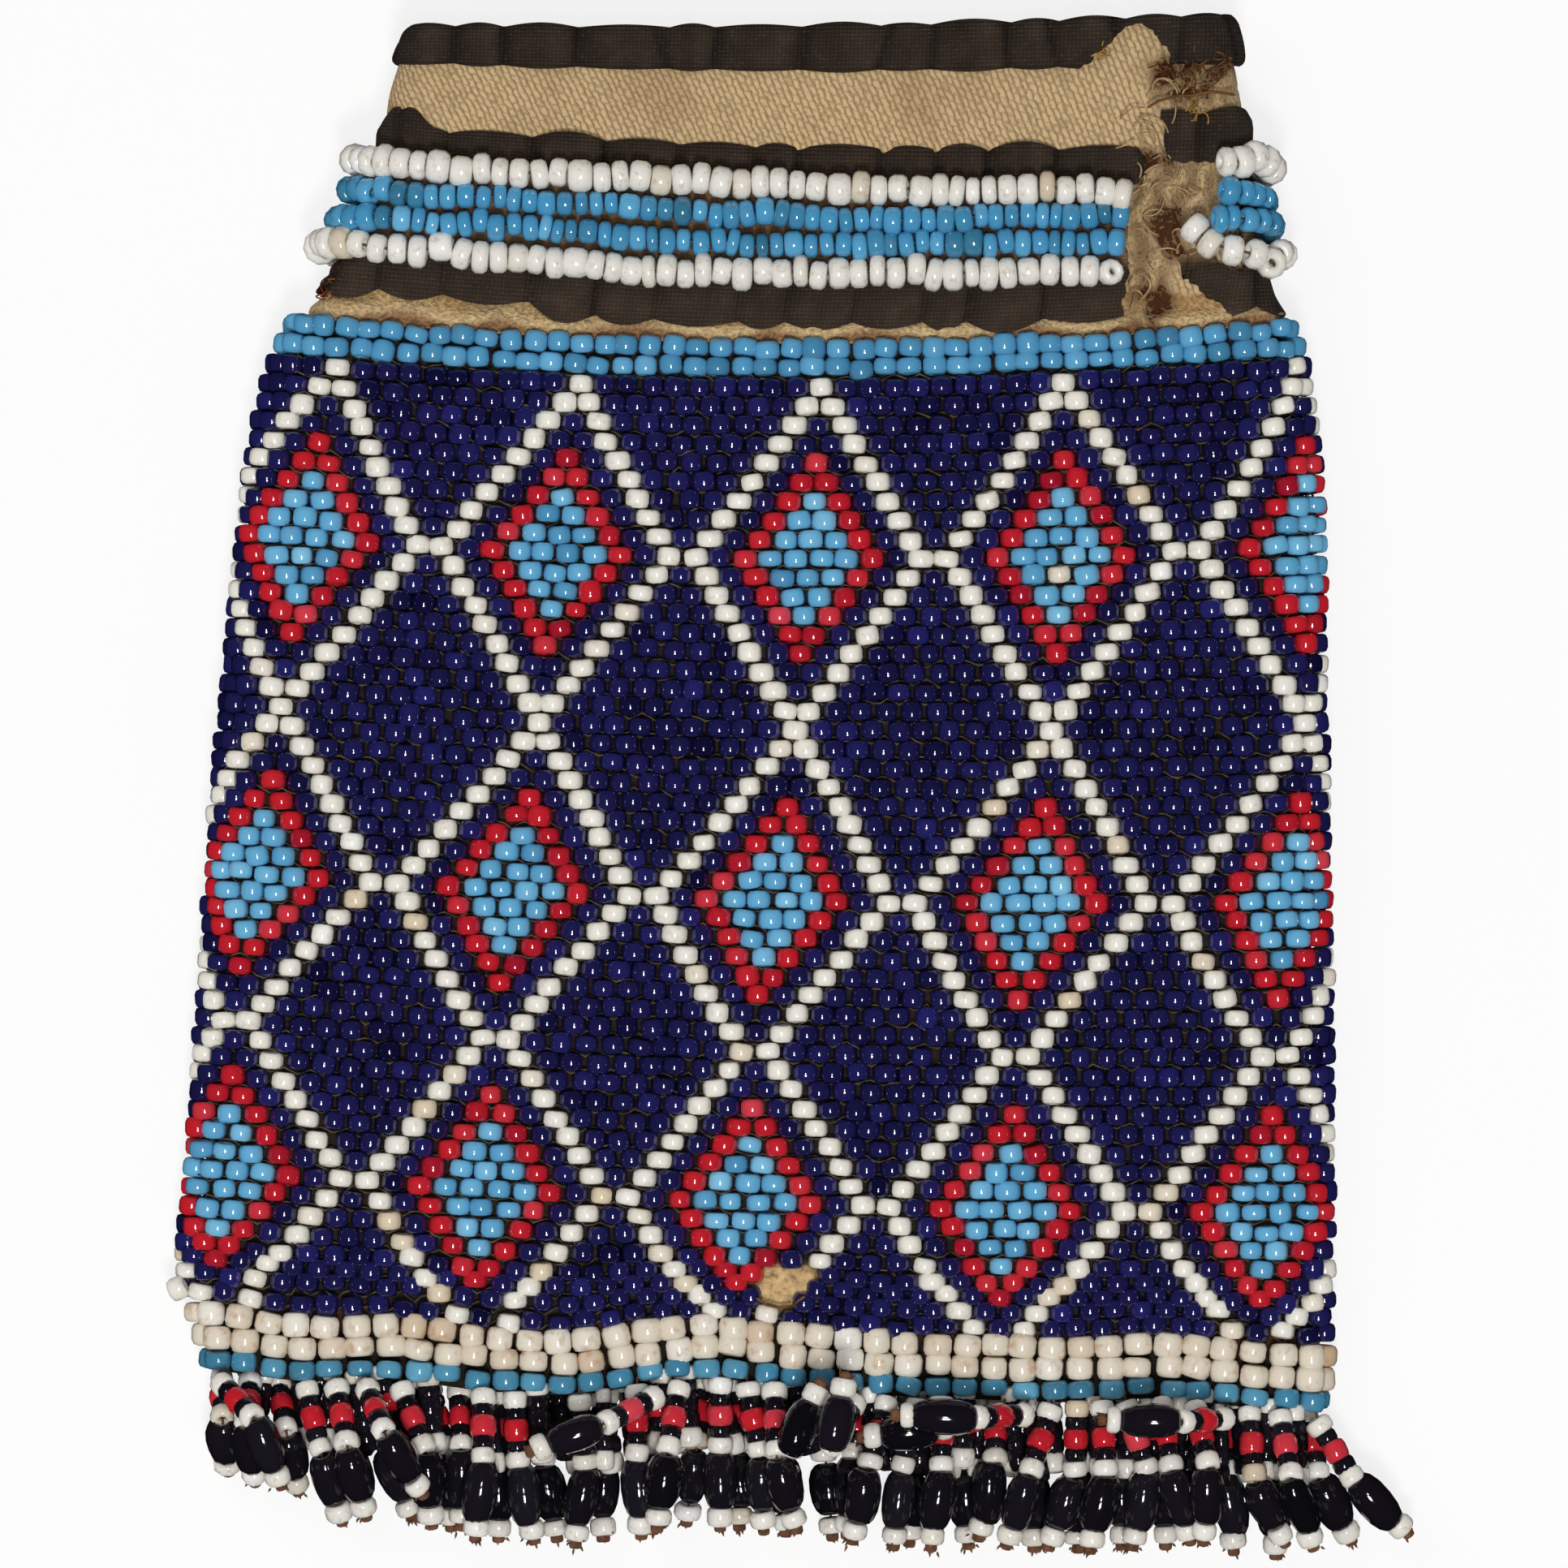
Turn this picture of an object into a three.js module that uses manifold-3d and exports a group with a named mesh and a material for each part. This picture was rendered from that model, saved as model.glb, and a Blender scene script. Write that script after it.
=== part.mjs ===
// Beaded cloth tobacco bag, lying flat on its back. Millimetres, +Z up, mouth towards +Y.
// The origin is on the flat back of the bead sleeve, half way along the bag.
import * as THREE from 'three';
import { mergeVertices } from 'three/addons/utils/BufferGeometryUtils.js';
import Module from 'manifold-3d';

const wasm = await Module();
wasm.setup();

// Cloth and clearances
const CANVAS = 0.8;
const TRIM = 0.8;
const GAP = 0.3;
const SEAM = 0.15;

// Beads
const FIELD_BEAD = 2.45;
const HEADER_BEAD = 2.4;
const HEM_BEAD = 2.9;
const HEM_BLUE_BEAD = 2.6;
const WHITE_STRING_BEAD = 3.1;
const BLUE_STRING_BEAD = 2.75;
const WHITE_STRING_PITCH = 2.0;
const BLUE_STRING_PITCH = 1.68;
const STRING_SEAT = 0.2;

// Lengths along the bag, stacked upwards and downwards from the top of the bead field
const FIELD_TOP = 42.4;
const FIELD_LENGTH = 98.9;
const HEADER_HEIGHT = 3.9;
const FOLD_HEIGHT = 1.8;
const BAND_HEIGHT = 18.1;
const CANVAS_HEIGHT = 8.4;
const BINDING_HEIGHT = 5;
const BINDING_INNER_LEG = 3.2;
const HEM_WHITE_HEIGHT = 4.5;
const HEM_BLUE_HEIGHT = 1.8;
const STRING_TOP_DROP = 4;
const POUCH_SEAM = 4;

// Where the widths and depths below are taken, from the nearest edge of a piece
const COLLAR_RISE = 4;
const NECK_DROP = 5;
const NECK_FOOT_RISE = 2.5;
const CHEST_DROP = 12.4;
const MIDDLE_DROP = 42.4;
const WAIST_DROP = 63.9;
const LOWER_RISE = 17;
const FOOT_RISE = 2;

// Widths of the canvas pouch, outside
const MOUTH_WIDTH = 85;
const NECK_WIDTH = 89.5;
const NECK_FOOT_WIDTH = 96;
const SHOULDER_WIDTH = 104.3;
const CHEST_WIDTH = 108.5;
const MIDDLE_WIDTH = 112;
const WAIST_WIDTH = 113.9;
const LOWER_WIDTH = 115.5;
const FOOT_WIDTH = 117;
const HEM_TOP_WIDTH = 115;
const HEM_WIDTH = 112.5;

// Depths of the canvas pouch, outside
const MOUTH_DEPTH = 9.4;
const NECK_DEPTH = 7;
const BODY_DEPTH = 8;
const WAIST_DEPTH = 6.3;
const LOWER_DEPTH = 4.6;
const FOOT_DEPTH = 3;
const HEM_DEPTH = 2.4;

// Gathers of the dark cotton
const GATHER_PITCH = 7.2;
const GATHER_DEPTH = 0.35;
const GATHER_DROP = 0.5;

// The torn place at the right of the neck, as distances from the bag's middle line
const BINDING_TEAR = { left: 30.1, right: 34.6 };
const BAND_TEAR = { left: 33.3, right: 38.3 };
const STRING_TEAR = { left: 32.7, right: 42.6 };
const LOOSE_END = { length: 7, lift: 2.7, rise: 4.2 };

// Lattice of white beads worked into the sleeve
const BEADS_AROUND = 90;
const ROWS = 51;
const ROW_CROWDING = 1.0225;
const CROWDED_FROM = 0.9;
const COLUMN_BEADS = 10;
const LATTICE_HALF_BEAD = 0.55;
const LATTICE_THICKNESS = 0.9;
const LATTICE_VALLEY = 0.35;
const LATTICE_GAP = 0.5;

// The swelling of a bead row: half its flat top in rows, and how deep the beadwork dips between rows
const ROW_CREST = 0.22;
const ROW_VALLEY = 0.55;

// Beads of a fringe strand from the hem down: length and diameter
const STRAND_WHITE = { length: 1.6, diameter: 2.7 };
const STRAND_BLACK = { length: 1.3, diameter: 2.4 };
const STRAND_RED = { length: 2.1, diameter: 2.7 };
const STRAND_LONG = { length: 6, diameter: 3.9 };
const STRAND_END = { length: 1.6, diameter: 2.8 };
const STRAND_KNOT = { length: 0.8, diameter: 1.4 };
const STRAND_WAIST = 1.3;
const STRAND_CLEARANCE = 0.25;

// Where each piece begins and ends along the bag
const headerBottom = FIELD_TOP + SEAM;
const headerTop = headerBottom + HEADER_HEIGHT;
const bandBottom = headerTop + FOLD_HEIGHT;
const bandTop = bandBottom + BAND_HEIGHT;
const bindingBottom = bandTop + CANVAS_HEIGHT;
const bindingTop = bindingBottom + BINDING_HEIGHT;
const rim = bindingTop - TRIM - GAP;
const fieldBottom = FIELD_TOP - FIELD_LENGTH;
const hemTop = fieldBottom - SEAM;
const hemWhiteBottom = hemTop - HEM_WHITE_HEIGHT;
const hemBlueTop = hemWhiteBottom - SEAM;
const hemBottom = hemBlueTop - HEM_BLUE_HEIGHT;
const pouchFoot = hemWhiteBottom + SEAM;

// How high the pouch's back lies above the table, so that what is sewn on it just touches down
const fieldBack = GAP + FIELD_BEAD;
const neckBack = GAP + TRIM + GATHER_DEPTH + STRING_SEAT + WHITE_STRING_BEAD;
const mouthBack = neckBack - TRIM - GAP;
const hemBack = GAP + HEM_BEAD;

// Sections along the bag: width, depth, height of the back, sideways lean,
// how far rows bow up at both edges and drop towards the right, and how far the pattern is twisted
function station(y, width, depth, back, [lean, bow, tilt, twist]) {
  return { y, width, depth, back, lean, bow, tilt, twist };
}

const STATIONS = [
  station(bindingTop, MOUTH_WIDTH, MOUTH_DEPTH, mouthBack, [3.8, 0.6, -0.7, 3.6]),
  station(bandTop + COLLAR_RISE, NECK_WIDTH, NECK_DEPTH, neckBack, [3.4, 1, 0.6, 3.6]),
  station(bandTop - NECK_DROP, NECK_WIDTH, NECK_DEPTH, neckBack, [3, 1.5, 1.4, 3.6]),
  station(bandBottom + NECK_FOOT_RISE, NECK_FOOT_WIDTH, NECK_DEPTH, neckBack, [1.7, 2.2, 0.6, 3.6]),
  station(FIELD_TOP, SHOULDER_WIDTH, BODY_DEPTH, fieldBack, [0.4, 2.4, 0.1, 3.6]),
  station(FIELD_TOP - CHEST_DROP, CHEST_WIDTH, BODY_DEPTH, fieldBack, [-0.1, 2.2, 0.4, 3.2]),
  station(FIELD_TOP - MIDDLE_DROP, MIDDLE_WIDTH, BODY_DEPTH, fieldBack, [-1.3, 1.6, 1.2, 2]),
  station(FIELD_TOP - WAIST_DROP, WAIST_WIDTH, WAIST_DEPTH, fieldBack, [-1.9, 1.5, 1.8, -0.8]),
  station(fieldBottom + LOWER_RISE, LOWER_WIDTH, LOWER_DEPTH, fieldBack, [-2.4, 1.4, 2.3, -1.2]),
  station(fieldBottom + FOOT_RISE, FOOT_WIDTH, FOOT_DEPTH, fieldBack, [-3.2, 1, 2.3, -1.9]),
  station(hemTop, HEM_TOP_WIDTH, HEM_DEPTH, hemBack, [-2.4, -0.2, 2.1, -1.9]),
  station(hemBottom, HEM_WIDTH, HEM_DEPTH, hemBack, [-1.9, -0.6, 2.1, -1.9]),
];

// The section at a height along the bag, on straight lines between the stations
function sectionAt(y) {
  const last = STATIONS.length - 1;
  let below = STATIONS.findIndex((station) => station.y <= y);
  if (below < 0) below = last;
  const above = Math.max(below - 1, 0);
  const from = STATIONS[above];
  const to = STATIONS[below];
  const share = above === below ? 0 : THREE.MathUtils.clamp((from.y - y) / (from.y - to.y), 0, 1);
  const section = {};
  for (const key of Object.keys(from)) section[key] = THREE.MathUtils.lerp(from[key], to[key], share);
  return section;
}

// Half the straight part of the flattened section, and its edge radius at a distance outside the pouch
function edgeOf(section, proud) {
  return { reach: (section.width - section.depth) / 2, radius: section.depth / 2 + proud };
}

// Around a section, turn 0.25 is the middle of the front: a straight front, a half round at each
// edge and a straight back take a quarter turn each
const FRONT_MIDDLE = 0.25;
const FRONT_HALF = 0.125;
const EDGE_END = 0.375;

function sectionPoint(y, proud, turn) {
  const section = sectionAt(y);
  const { reach, radius } = edgeOf(section, proud);
  const height = section.back + section.depth / 2;
  const signed = THREE.MathUtils.euclideanModulo(turn - FRONT_MIDDLE + 0.5, 1) - 0.5;
  const side = Math.sign(signed);
  const share = Math.abs(signed);
  if (share <= FRONT_HALF) {
    return new THREE.Vector3(section.lean + side * reach * (share / FRONT_HALF), y, height + radius);
  }
  if (share <= EDGE_END) {
    const angle = (Math.PI * (share - FRONT_HALF)) / (EDGE_END - FRONT_HALF);
    const x = section.lean + side * (reach + radius * Math.sin(angle));
    return new THREE.Vector3(x, y, height + radius * Math.cos(angle));
  }
  const back = 1 - (share - EDGE_END) / FRONT_HALF;
  return new THREE.Vector3(section.lean + side * reach * back, y, height - radius);
}

// The turn at a distance along a section's curve from the middle of the front, right positive
function turnAt(y, proud, distance) {
  const { reach, radius } = edgeOf(sectionAt(y), proud);
  const edge = Math.PI * radius;
  const run = Math.abs(distance);
  let share = FRONT_HALF * (run / reach);
  if (run > reach) share = FRONT_HALF + (EDGE_END - FRONT_HALF) * ((run - reach) / edge);
  if (run > reach + edge) share = EDGE_END + FRONT_HALF * ((run - reach - edge) / reach);
  return FRONT_MIDDLE + Math.sign(distance) * share;
}

function girth(y, proud) {
  const { reach, radius } = edgeOf(sectionAt(y), proud);
  return 4 * reach + 2 * Math.PI * radius;
}

// The rows of the real bag bow and slope, so every point moves along the bag by its place across
function lay(point) {
  const section = sectionAt(point.y);
  const across = (point.x - section.lean) / (section.width / 2);
  const y = point.y + section.bow * across ** 2 - section.tilt * across;
  return new THREE.Vector3(point.x, y, point.z);
}

// Evenly spaced values from first to last
function spread(first, last, steps) {
  return Array.from({ length: steps + 1 }, (_, i) => first + ((last - first) * i) / steps);
}

// Turns all the way round: few on the flat stretches, enough on the edges to stay round
const EDGE_STEPS = 4;
const FRONT_STEPS = 8;
const BACK_STEPS = 2;
const ALL_ROUND = [
  ...spread(FRONT_HALF, EDGE_END, FRONT_STEPS).slice(0, -1),
  ...spread(EDGE_END, 0.625, EDGE_STEPS).slice(0, -1),
  ...spread(0.625, 0.875, BACK_STEPS).slice(0, -1),
  ...spread(0.875, 1.125, EDGE_STEPS).slice(0, -1),
];

function ringAt(y, proud) {
  return ALL_ROUND.map((turn) => sectionPoint(y, proud, turn));
}

// Triangles of a flat end, wound the way the ring's own points run
function capOf(flat) {
  const faces = THREE.ShapeUtils.triangulateShape(flat, []);
  return faces.map((face) => [...face].sort((a, b) => a - b));
}

// A closed skin over rings of points: the last ring joins the first, or both ends are capped
function skin(rings, isLoop, flatEnd) {
  const count = rings[0].length;
  const faces = [];
  const steps = isLoop ? rings.length : rings.length - 1;
  for (let i = 0; i < steps; i += 1) {
    const here = i * count;
    const next = ((i + 1) % rings.length) * count;
    for (let j = 0; j < count; j += 1) {
      const k = (j + 1) % count;
      faces.push(here + j, here + k, next + k, here + j, next + k, next + j);
    }
  }
  if (!isLoop) {
    const end = (rings.length - 1) * count;
    for (const [a, b, c] of capOf(flatEnd)) faces.push(c, b, a, end + a, end + b, end + c);
  }
  return facingOut(rings.flat(), faces);
}

function facingOut(points, faces) {
  let volume = 0;
  for (let i = 0; i < faces.length; i += 3) {
    const [a, b, c] = [points[faces[i]], points[faces[i + 1]], points[faces[i + 2]]];
    volume += a.dot(new THREE.Vector3().crossVectors(b, c));
  }
  const geometry = new THREE.BufferGeometry().setFromPoints(points);
  geometry.setIndex(volume < 0 ? faces.toReversed() : faces);
  return geometry;
}

const cotton = (colour) => new THREE.MeshStandardMaterial({ color: colour, roughness: 0.9, metalness: 0 });
const bead = (colour) => new THREE.MeshStandardMaterial({ color: colour, roughness: 0.2, metalness: 0 });

const CANVAS_TAN = cotton('#b8975f');
const DARK_COTTON = cotton('#33281f');
const CREAM_BEAD = bead('#e8e2d4');
const HEM_CREAM_BEAD = bead('#ded3bd');
const SKY_BEAD = bead('#3f9ccb');
const NAVY_BEAD = bead('#15145c');
const BLACK_BEAD = bead('#0d0c12');

const bag = new THREE.Group();

function addPiece(name, geometry, material) {
  const mesh = new THREE.Mesh(geometry, material);
  mesh.name = name;
  bag.add(mesh);
}

// Heights of the stations strictly between two ends, from low to high, with both ends
function heightsBetween(low, high) {
  const inside = STATIONS.map((station) => station.y).filter((y) => y > low && y < high);
  return [low, ...inside.reverse(), high];
}

function laidRing(y, proud) {
  return ringAt(y, proud).map(lay);
}

// The pouch: outside from the foot up, over the rim and down inside to its bottom seam
function canvasPouch() {
  const foldMiddle = headerTop + FOLD_HEIGHT / 2;
  const foldSwell = GAP + TRIM;
  const low = heightsBetween(pouchFoot, headerTop + SEAM).map((y) => laidRing(y, 0));
  const high = heightsBetween(bandBottom - SEAM, rim).map((y) => laidRing(y, 0));
  const inside = heightsBetween(fieldBottom + POUCH_SEAM, rim).reverse().map((y) => laidRing(y, -CANVAS));
  const rings = [...low, laidRing(foldMiddle, foldSwell), ...high, ...inside];
  const flatEnd = rings[0].map((point) => new THREE.Vector2(point.x, point.z));
  return skin(rings, false, flatEnd);
}

// A band of beads round the bag, with a swelling for each row of beads in it
function beadRows(bottom, top, diameter, rows) {
  const rowHeight = (top - bottom) / rows;
  const waist = 0.62;
  const crown = 0.5;
  const rings = [laidRing(bottom, GAP)];
  for (let row = 0; row < rows; row += 1) {
    rings.push(laidRing(bottom + row * rowHeight, GAP + diameter * waist));
    rings.push(laidRing(bottom + (row + crown) * rowHeight, GAP + diameter));
  }
  rings.push(laidRing(top, GAP + diameter * waist), laidRing(top, GAP));
  return skin(rings, true);
}

// The tube of beadwork round the body of the bag, with a flat-topped swelling for each row of beads
function beadSleeve() {
  const valley = GAP + FIELD_BEAD * ROW_VALLEY;
  const crest = GAP + FIELD_BEAD;
  const rings = [];
  for (let row = ROWS - 1; row >= 0; row -= 1) {
    rings.push(laidRing(rowHeight(row + 0.5), valley));
    rings.push(laidRing(rowHeight(row + ROW_CREST), crest));
    rings.push(laidRing(rowHeight(row - ROW_CREST), crest));
  }
  rings.push(laidRing(FIELD_TOP, valley));
  const inside = heightsBetween(fieldBottom, FIELD_TOP).reverse().map((y) => laidRing(y, GAP));
  return skin([...rings, ...inside], true);
}

// Turns of a strip that runs from the right of the tear, round the back, to the left of the tear
function turnsPastTear(tear, y, frontSteps) {
  const right = turnAt(y, 0, tear.right);
  const left = turnAt(y, 0, tear.left);
  return [
    ...(right < EDGE_END ? [right] : []),
    ...ALL_ROUND.filter((turn) => turn >= Math.max(EDGE_END, right) && turn < 1 + FRONT_HALF),
    ...spread(1 + FRONT_HALF, 1 + left, frontSteps),
  ];
}

// How far a gather stands out at a turn, from 0 to 1, on the front only
function gatherAt(turn) {
  const onFront = turn > 1 + FRONT_HALF;
  const distance = (turn - 1 - FRONT_HALF) * 2 * NECK_WIDTH * 2;
  return onFront ? Math.sin((Math.PI * distance) / GATHER_PITCH) ** 2 : 0;
}

const GATHER_STEPS = 48;

// A gathered strip of dark cotton: each profile corner is [outside, proud, height]
function gatheredStrip(tear, middle, profile) {
  const rings = turnsPastTear(tear, middle, GATHER_STEPS).map((turn) => {
    const gather = gatherAt(turn);
    return profile.map(([isOutside, proud, y, drop]) => {
      const stand = isOutside ? GATHER_DEPTH * gather : 0;
      return lay(sectionPoint(y + drop * GATHER_DROP * gather, proud + stand, turn));
    });
  });
  return skin(rings, false, profile.map(([, proud, y]) => new THREE.Vector2(proud, y)));
}

function mouthBinding() {
  const inner = -CANVAS - GAP;
  const innerFoot = bindingTop - BINDING_INNER_LEG;
  return gatheredStrip(BINDING_TEAR, bindingBottom, [
    [false, GAP, bindingBottom, 0],
    [true, GAP + TRIM, bindingBottom, -1],
    [true, GAP + TRIM, bindingTop, -1],
    [false, inner - TRIM, bindingTop, -1],
    [false, inner - TRIM, innerFoot, 0],
    [false, inner, innerFoot, 0],
    [false, inner, rim + GAP, 0],
    [false, GAP, rim + GAP, 0],
  ]);
}

function neckBand() {
  const heights = heightsBetween(bandBottom, bandTop);
  const outside = heights.map((y, i) => [true, GAP + TRIM, y, i === heights.length - 1 ? 1 : 0]);
  const inside = heights.toReversed().map((y) => [false, GAP, y, 0]);
  return gatheredStrip(BAND_TEAR, (bandBottom + bandTop) / 2, [...outside, ...inside]);
}

// A broken string of beads round the neck: beads on the front and both edges, plain on the back
function beadString(y, diameter, pitch, isLoose) {
  const seat = GAP + TRIM + GATHER_DEPTH + STRING_SEAT;
  const line = seat + diameter / 2;
  const waist = 0.66;
  const { reach, radius } = edgeOf(sectionAt(y), line);
  const edge = Math.PI * radius;
  const backStart = reach + edge;
  const leftEnd = -backStart;
  const rightStart = girth(y, line) - STRING_TEAR.right;
  const stops = [];
  for (let at = STRING_TEAR.left; at > leftEnd; at -= pitch) {
    stops.push([at, waist], [at - pitch / 2, 1]);
  }
  for (const at of spread(leftEnd, leftEnd - 2 * reach, 4)) stops.push([at, waist]);
  for (let at = leftEnd - 2 * reach - pitch; at > -rightStart; at -= pitch) {
    stops.push([at + pitch / 2, 1], [at, waist]);
  }
  const rings = stops.map(([at, swell]) => {
    const toEnd = isLoose ? Math.max(0, 1 - (rightStart + at) / LOOSE_END.length) : 0;
    const height = y + LOOSE_END.rise * toEnd ** 2;
    const turn = turnAtAny(y, line, at);
    const half = (diameter / 2) * swell;
    const out = line + LOOSE_END.lift * toEnd;
    return [
      sectionPoint(height, out + half, turn),
      sectionPoint(height + half, out, turn),
      sectionPoint(height, out - half, turn),
      sectionPoint(height - half, out, turn),
    ].map(lay);
  });
  const flatEnd = [[0, 1], [1, 0], [0, -1], [-1, 0]].map(([x, z]) => new THREE.Vector2(x, z));
  return skin(rings, false, flatEnd);
}

// The turn at a distance that may run on past the middle of the back
function turnAtAny(y, proud, distance) {
  const whole = girth(y, proud);
  const wrapped = THREE.MathUtils.euclideanModulo(distance + whole / 2, whole) - whole / 2;
  return turnAt(y, proud, wrapped);
}

// Heights of the four strings, hung one below the other
function stringHeights() {
  const step = (a, b) => (a + b) / 2 + SEAM;
  const whiteUpper = bandTop - STRING_TOP_DROP;
  const blueUpper = whiteUpper - step(WHITE_STRING_BEAD, BLUE_STRING_BEAD);
  const blueLower = blueUpper - step(BLUE_STRING_BEAD, BLUE_STRING_BEAD);
  const whiteLower = blueLower - step(BLUE_STRING_BEAD, WHITE_STRING_BEAD);
  return { whiteUpper, blueUpper, blueLower, whiteLower };
}

// Height of a bead row's middle; the last rows of the field are crowded together
function rowHeight(row) {
  const share = (row + 0.5) / ROWS;
  const spaced = Math.min(share, CROWDED_FROM) * ROW_CROWDING;
  const crowded = (1 - CROWDED_FROM * ROW_CROWDING) / (1 - CROWDED_FROM);
  return FIELD_TOP - FIELD_LENGTH * (spaced + Math.max(0, share - CROWDED_FROM) * crowded);
}

// A solid of the joining library from a three.js geometry
function solidOf(geometry) {
  const bare = new THREE.BufferGeometry();
  bare.setAttribute('position', geometry.getAttribute('position').clone());
  if (geometry.index) bare.setIndex(geometry.index.clone());
  const merged = mergeVertices(bare);
  const vertProperties = new Float32Array(merged.getAttribute('position').array);
  const triVerts = new Uint32Array(merged.index.array);
  return new wasm.Manifold(new wasm.Mesh({ numProp: 3, vertProperties, triVerts }));
}

// A flat piece of the net in beads across and rows down
function flatPiece(corners) {
  const shape = new THREE.Shape(corners.map(([across, row]) => new THREE.Vector2(across, row)));
  return solidOf(new THREE.ExtrudeGeometry(shape, { depth: LATTICE_THICKNESS, bevelEnabled: false }));
}

// A line of the net from one place to the next, in the same flat space, with a swelling for every
// second bead
function beadedLine([rowA, a], [rowB, b]) {
  const lap = 0.4;
  const swellings = Math.round((rowB - rowA) / 2);
  const ringAlong = (row, out) => {
    const across = THREE.MathUtils.mapLinear(THREE.MathUtils.clamp(row, rowA, rowB), rowA, rowB, a, b);
    const half = LATTICE_HALF_BEAD;
    return [[-half, 0], [half, 0], [half * 0.8, out], [-half * 0.8, out]]
      .map(([x, z]) => new THREE.Vector3(across + x, row, z));
  };
  const valley = LATTICE_THICKNESS * LATTICE_VALLEY;
  const rings = spread(rowA - lap, rowB + lap, 2 * swellings)
    .map((row, i) => ringAlong(row, i % 2 ? LATTICE_THICKNESS : valley));
  return solidOf(skin(rings, false, rings[0].map(({ x, z }) => new THREE.Vector2(x, z))));
}

// The white lines: in each column two lines swing out to the next column and back,
// and the second waist is a row short, as it was worked
const LATTICE_LINE = [[0, 0], [9, 4.5], [18, 0], [27, 4.5], [35, 0.5], [43, 4.5], [50, 1]];
const LIMIT_ROWS = [-0.3, 9, 18, 27, 35, 43, 50.3];
const COLUMNS = [-2, -1, 0, 1, 2];

function whiteLattice() {
  const beadLine = GAP + FIELD_BEAD / 2;
  let net = null;
  for (const column of COLUMNS) {
    for (const side of [-1, 1]) {
      for (let i = 0; i + 1 < LATTICE_LINE.length; i += 1) {
        const [rowA, outA] = LATTICE_LINE[i];
        const [rowB, outB] = LATTICE_LINE[i + 1];
        const middle = column * COLUMN_BEADS;
        const line = beadedLine([rowA, middle + side * outA], [rowB, middle + side * outB]);
        net = net ? net.add(line) : line;
      }
    }
  }
  const limits = LIMIT_ROWS.map((row) => flatLimits(row, beadLine));
  const frame = flatPiece([
    ...limits.map(({ left, row }) => [left, row]),
    ...limits.toReversed().map(({ right, row }) => [right, row]),
  ]);
  const bodies = net.intersect(frame).decompose();
  const mesh = bodies.reduce((a, b) => (a.volume() > b.volume() ? a : b)).getMesh();
  const points = [];
  for (let i = 0; i < mesh.vertProperties.length; i += mesh.numProp) {
    const [across, row, out] = mesh.vertProperties.slice(i, i + 3);
    const y = rowHeight(row);
    const pitch = girth(y, beadLine) / BEADS_AROUND;
    const turn = turnAt(y, beadLine, sectionAt(y).twist + across * pitch);
    points.push(lay(sectionPoint(y, GAP + FIELD_BEAD + LATTICE_GAP + out, turn)));
  }
  return facingOut(points, Array.from(mesh.triVerts));
}

// The beads at which the flat front ends, left and right, on a row
function flatLimits(row, beadLine) {
  const y = rowHeight(row);
  const { reach } = edgeOf(sectionAt(y), 0);
  const pitch = girth(y, beadLine) / BEADS_AROUND;
  const { twist } = sectionAt(y);
  return { left: (-reach - twist) / pitch, right: (reach - twist) / pitch, row };
}

// Fringe strands in the order they lie, lowest first: place across the hem, lean of the small beads
// and of the long bead in degrees from straight down, right positive, and how far the long bead sinks
const BACK_STRANDS = [
  [-59.3, 5, 3, 6], [-56.1, 0, 5, 5.4], [-53.4, 12, 9, 5], [-41.1, -6, 20, 2], [-37.5, 14, 4, 1.5],
  [-34.3, 4, 0, 1], [-30.1, 0, 0, 0], [-25.3, 0, 10, 1], [-18.5, -4, 0, 0], [-9.2, 0, -8, 1.5],
  [4.4, 0, 5, 0], [8.2, -8, -4, 1], [19, 0, 3, 0], [22.6, -4, -12, 1.5], [45.9, 6, 5, 0.5], [55, 10, 28, 3],
];
const FRONT_STRANDS = [
  [-59.2, 47, 20, 3], [-50.2, 13, 16, 3], [-47, 12, 14, 3], [-40.3, 22, 4, 2], [-31.5, 0, -6, 1],
  [-28.3, 3, 12, 1.5], [-21.5, 5, -8, 0.5], [-15.4, 0, 3, 1], [-10.9, -10, -8, 1], [-6.7, 0, 0, 0.5],
  [-3.9, 10, 3, 1.5], [10.9, -16, -12, 1.5], [14.1, -13, -6, 1], [16.5, 0, -8, 0.5], [28.1, -18, -18, 2],
  [30.8, -2, -20, 1], [33.3, 3, -12, 0.5], [35.8, 18, -12, 1], [39.6, 8, 15, 2.5], [43, 12, -4, 2],
  [48.8, 4, 26, 3], [51.9, 10, 18, 3], [55.8, 32, 46, 2], [-43.8, 25, 31, 3], [-1, 2, 15, 1.5],
  [-13.1, -64, -70, 0], [23.2, -78, -84, 0], [25.6, -90, -92, 0], [46.4, -90, -92, 0],
];
const FOLDED_STRANDS = [[4.6, -38, 155, 1], [7.6, -30, 168, 1]];

// Strands of the back that show only between the others; they are one solid with the row they hang from
const HIDDEN_STRANDS = [
  [-46.5, 0, 0, 3], [-13.8, 0, 0, 0], [-4.7, 0, 0, 0], [-0.1, 0, 2, 0], [13.2, 0, 0, 0],
  [26.4, 0, 0, 0], [31, 0, 0, 0], [35.6, 0, 0, 0], [40.2, 0, 0, 0], [51.3, 2, 2, 1],
];

const SMALL_BEADS = [STRAND_WHITE, STRAND_BLACK, STRAND_RED, STRAND_BLACK, STRAND_WHITE];
const LOW_BEADS = [STRAND_LONG, STRAND_END, STRAND_KNOT];
const lengthOf = (beads) => beads.reduce((sum, item) => sum + item.length, 0);
const SMALL_LENGTH = lengthOf(SMALL_BEADS);
const LOW_LENGTH = lengthOf(LOW_BEADS);

function downAt(degrees) {
  const angle = THREE.MathUtils.degToRad(degrees);
  return new THREE.Vector3(Math.sin(angle), -Math.cos(angle), 0);
}

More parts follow.
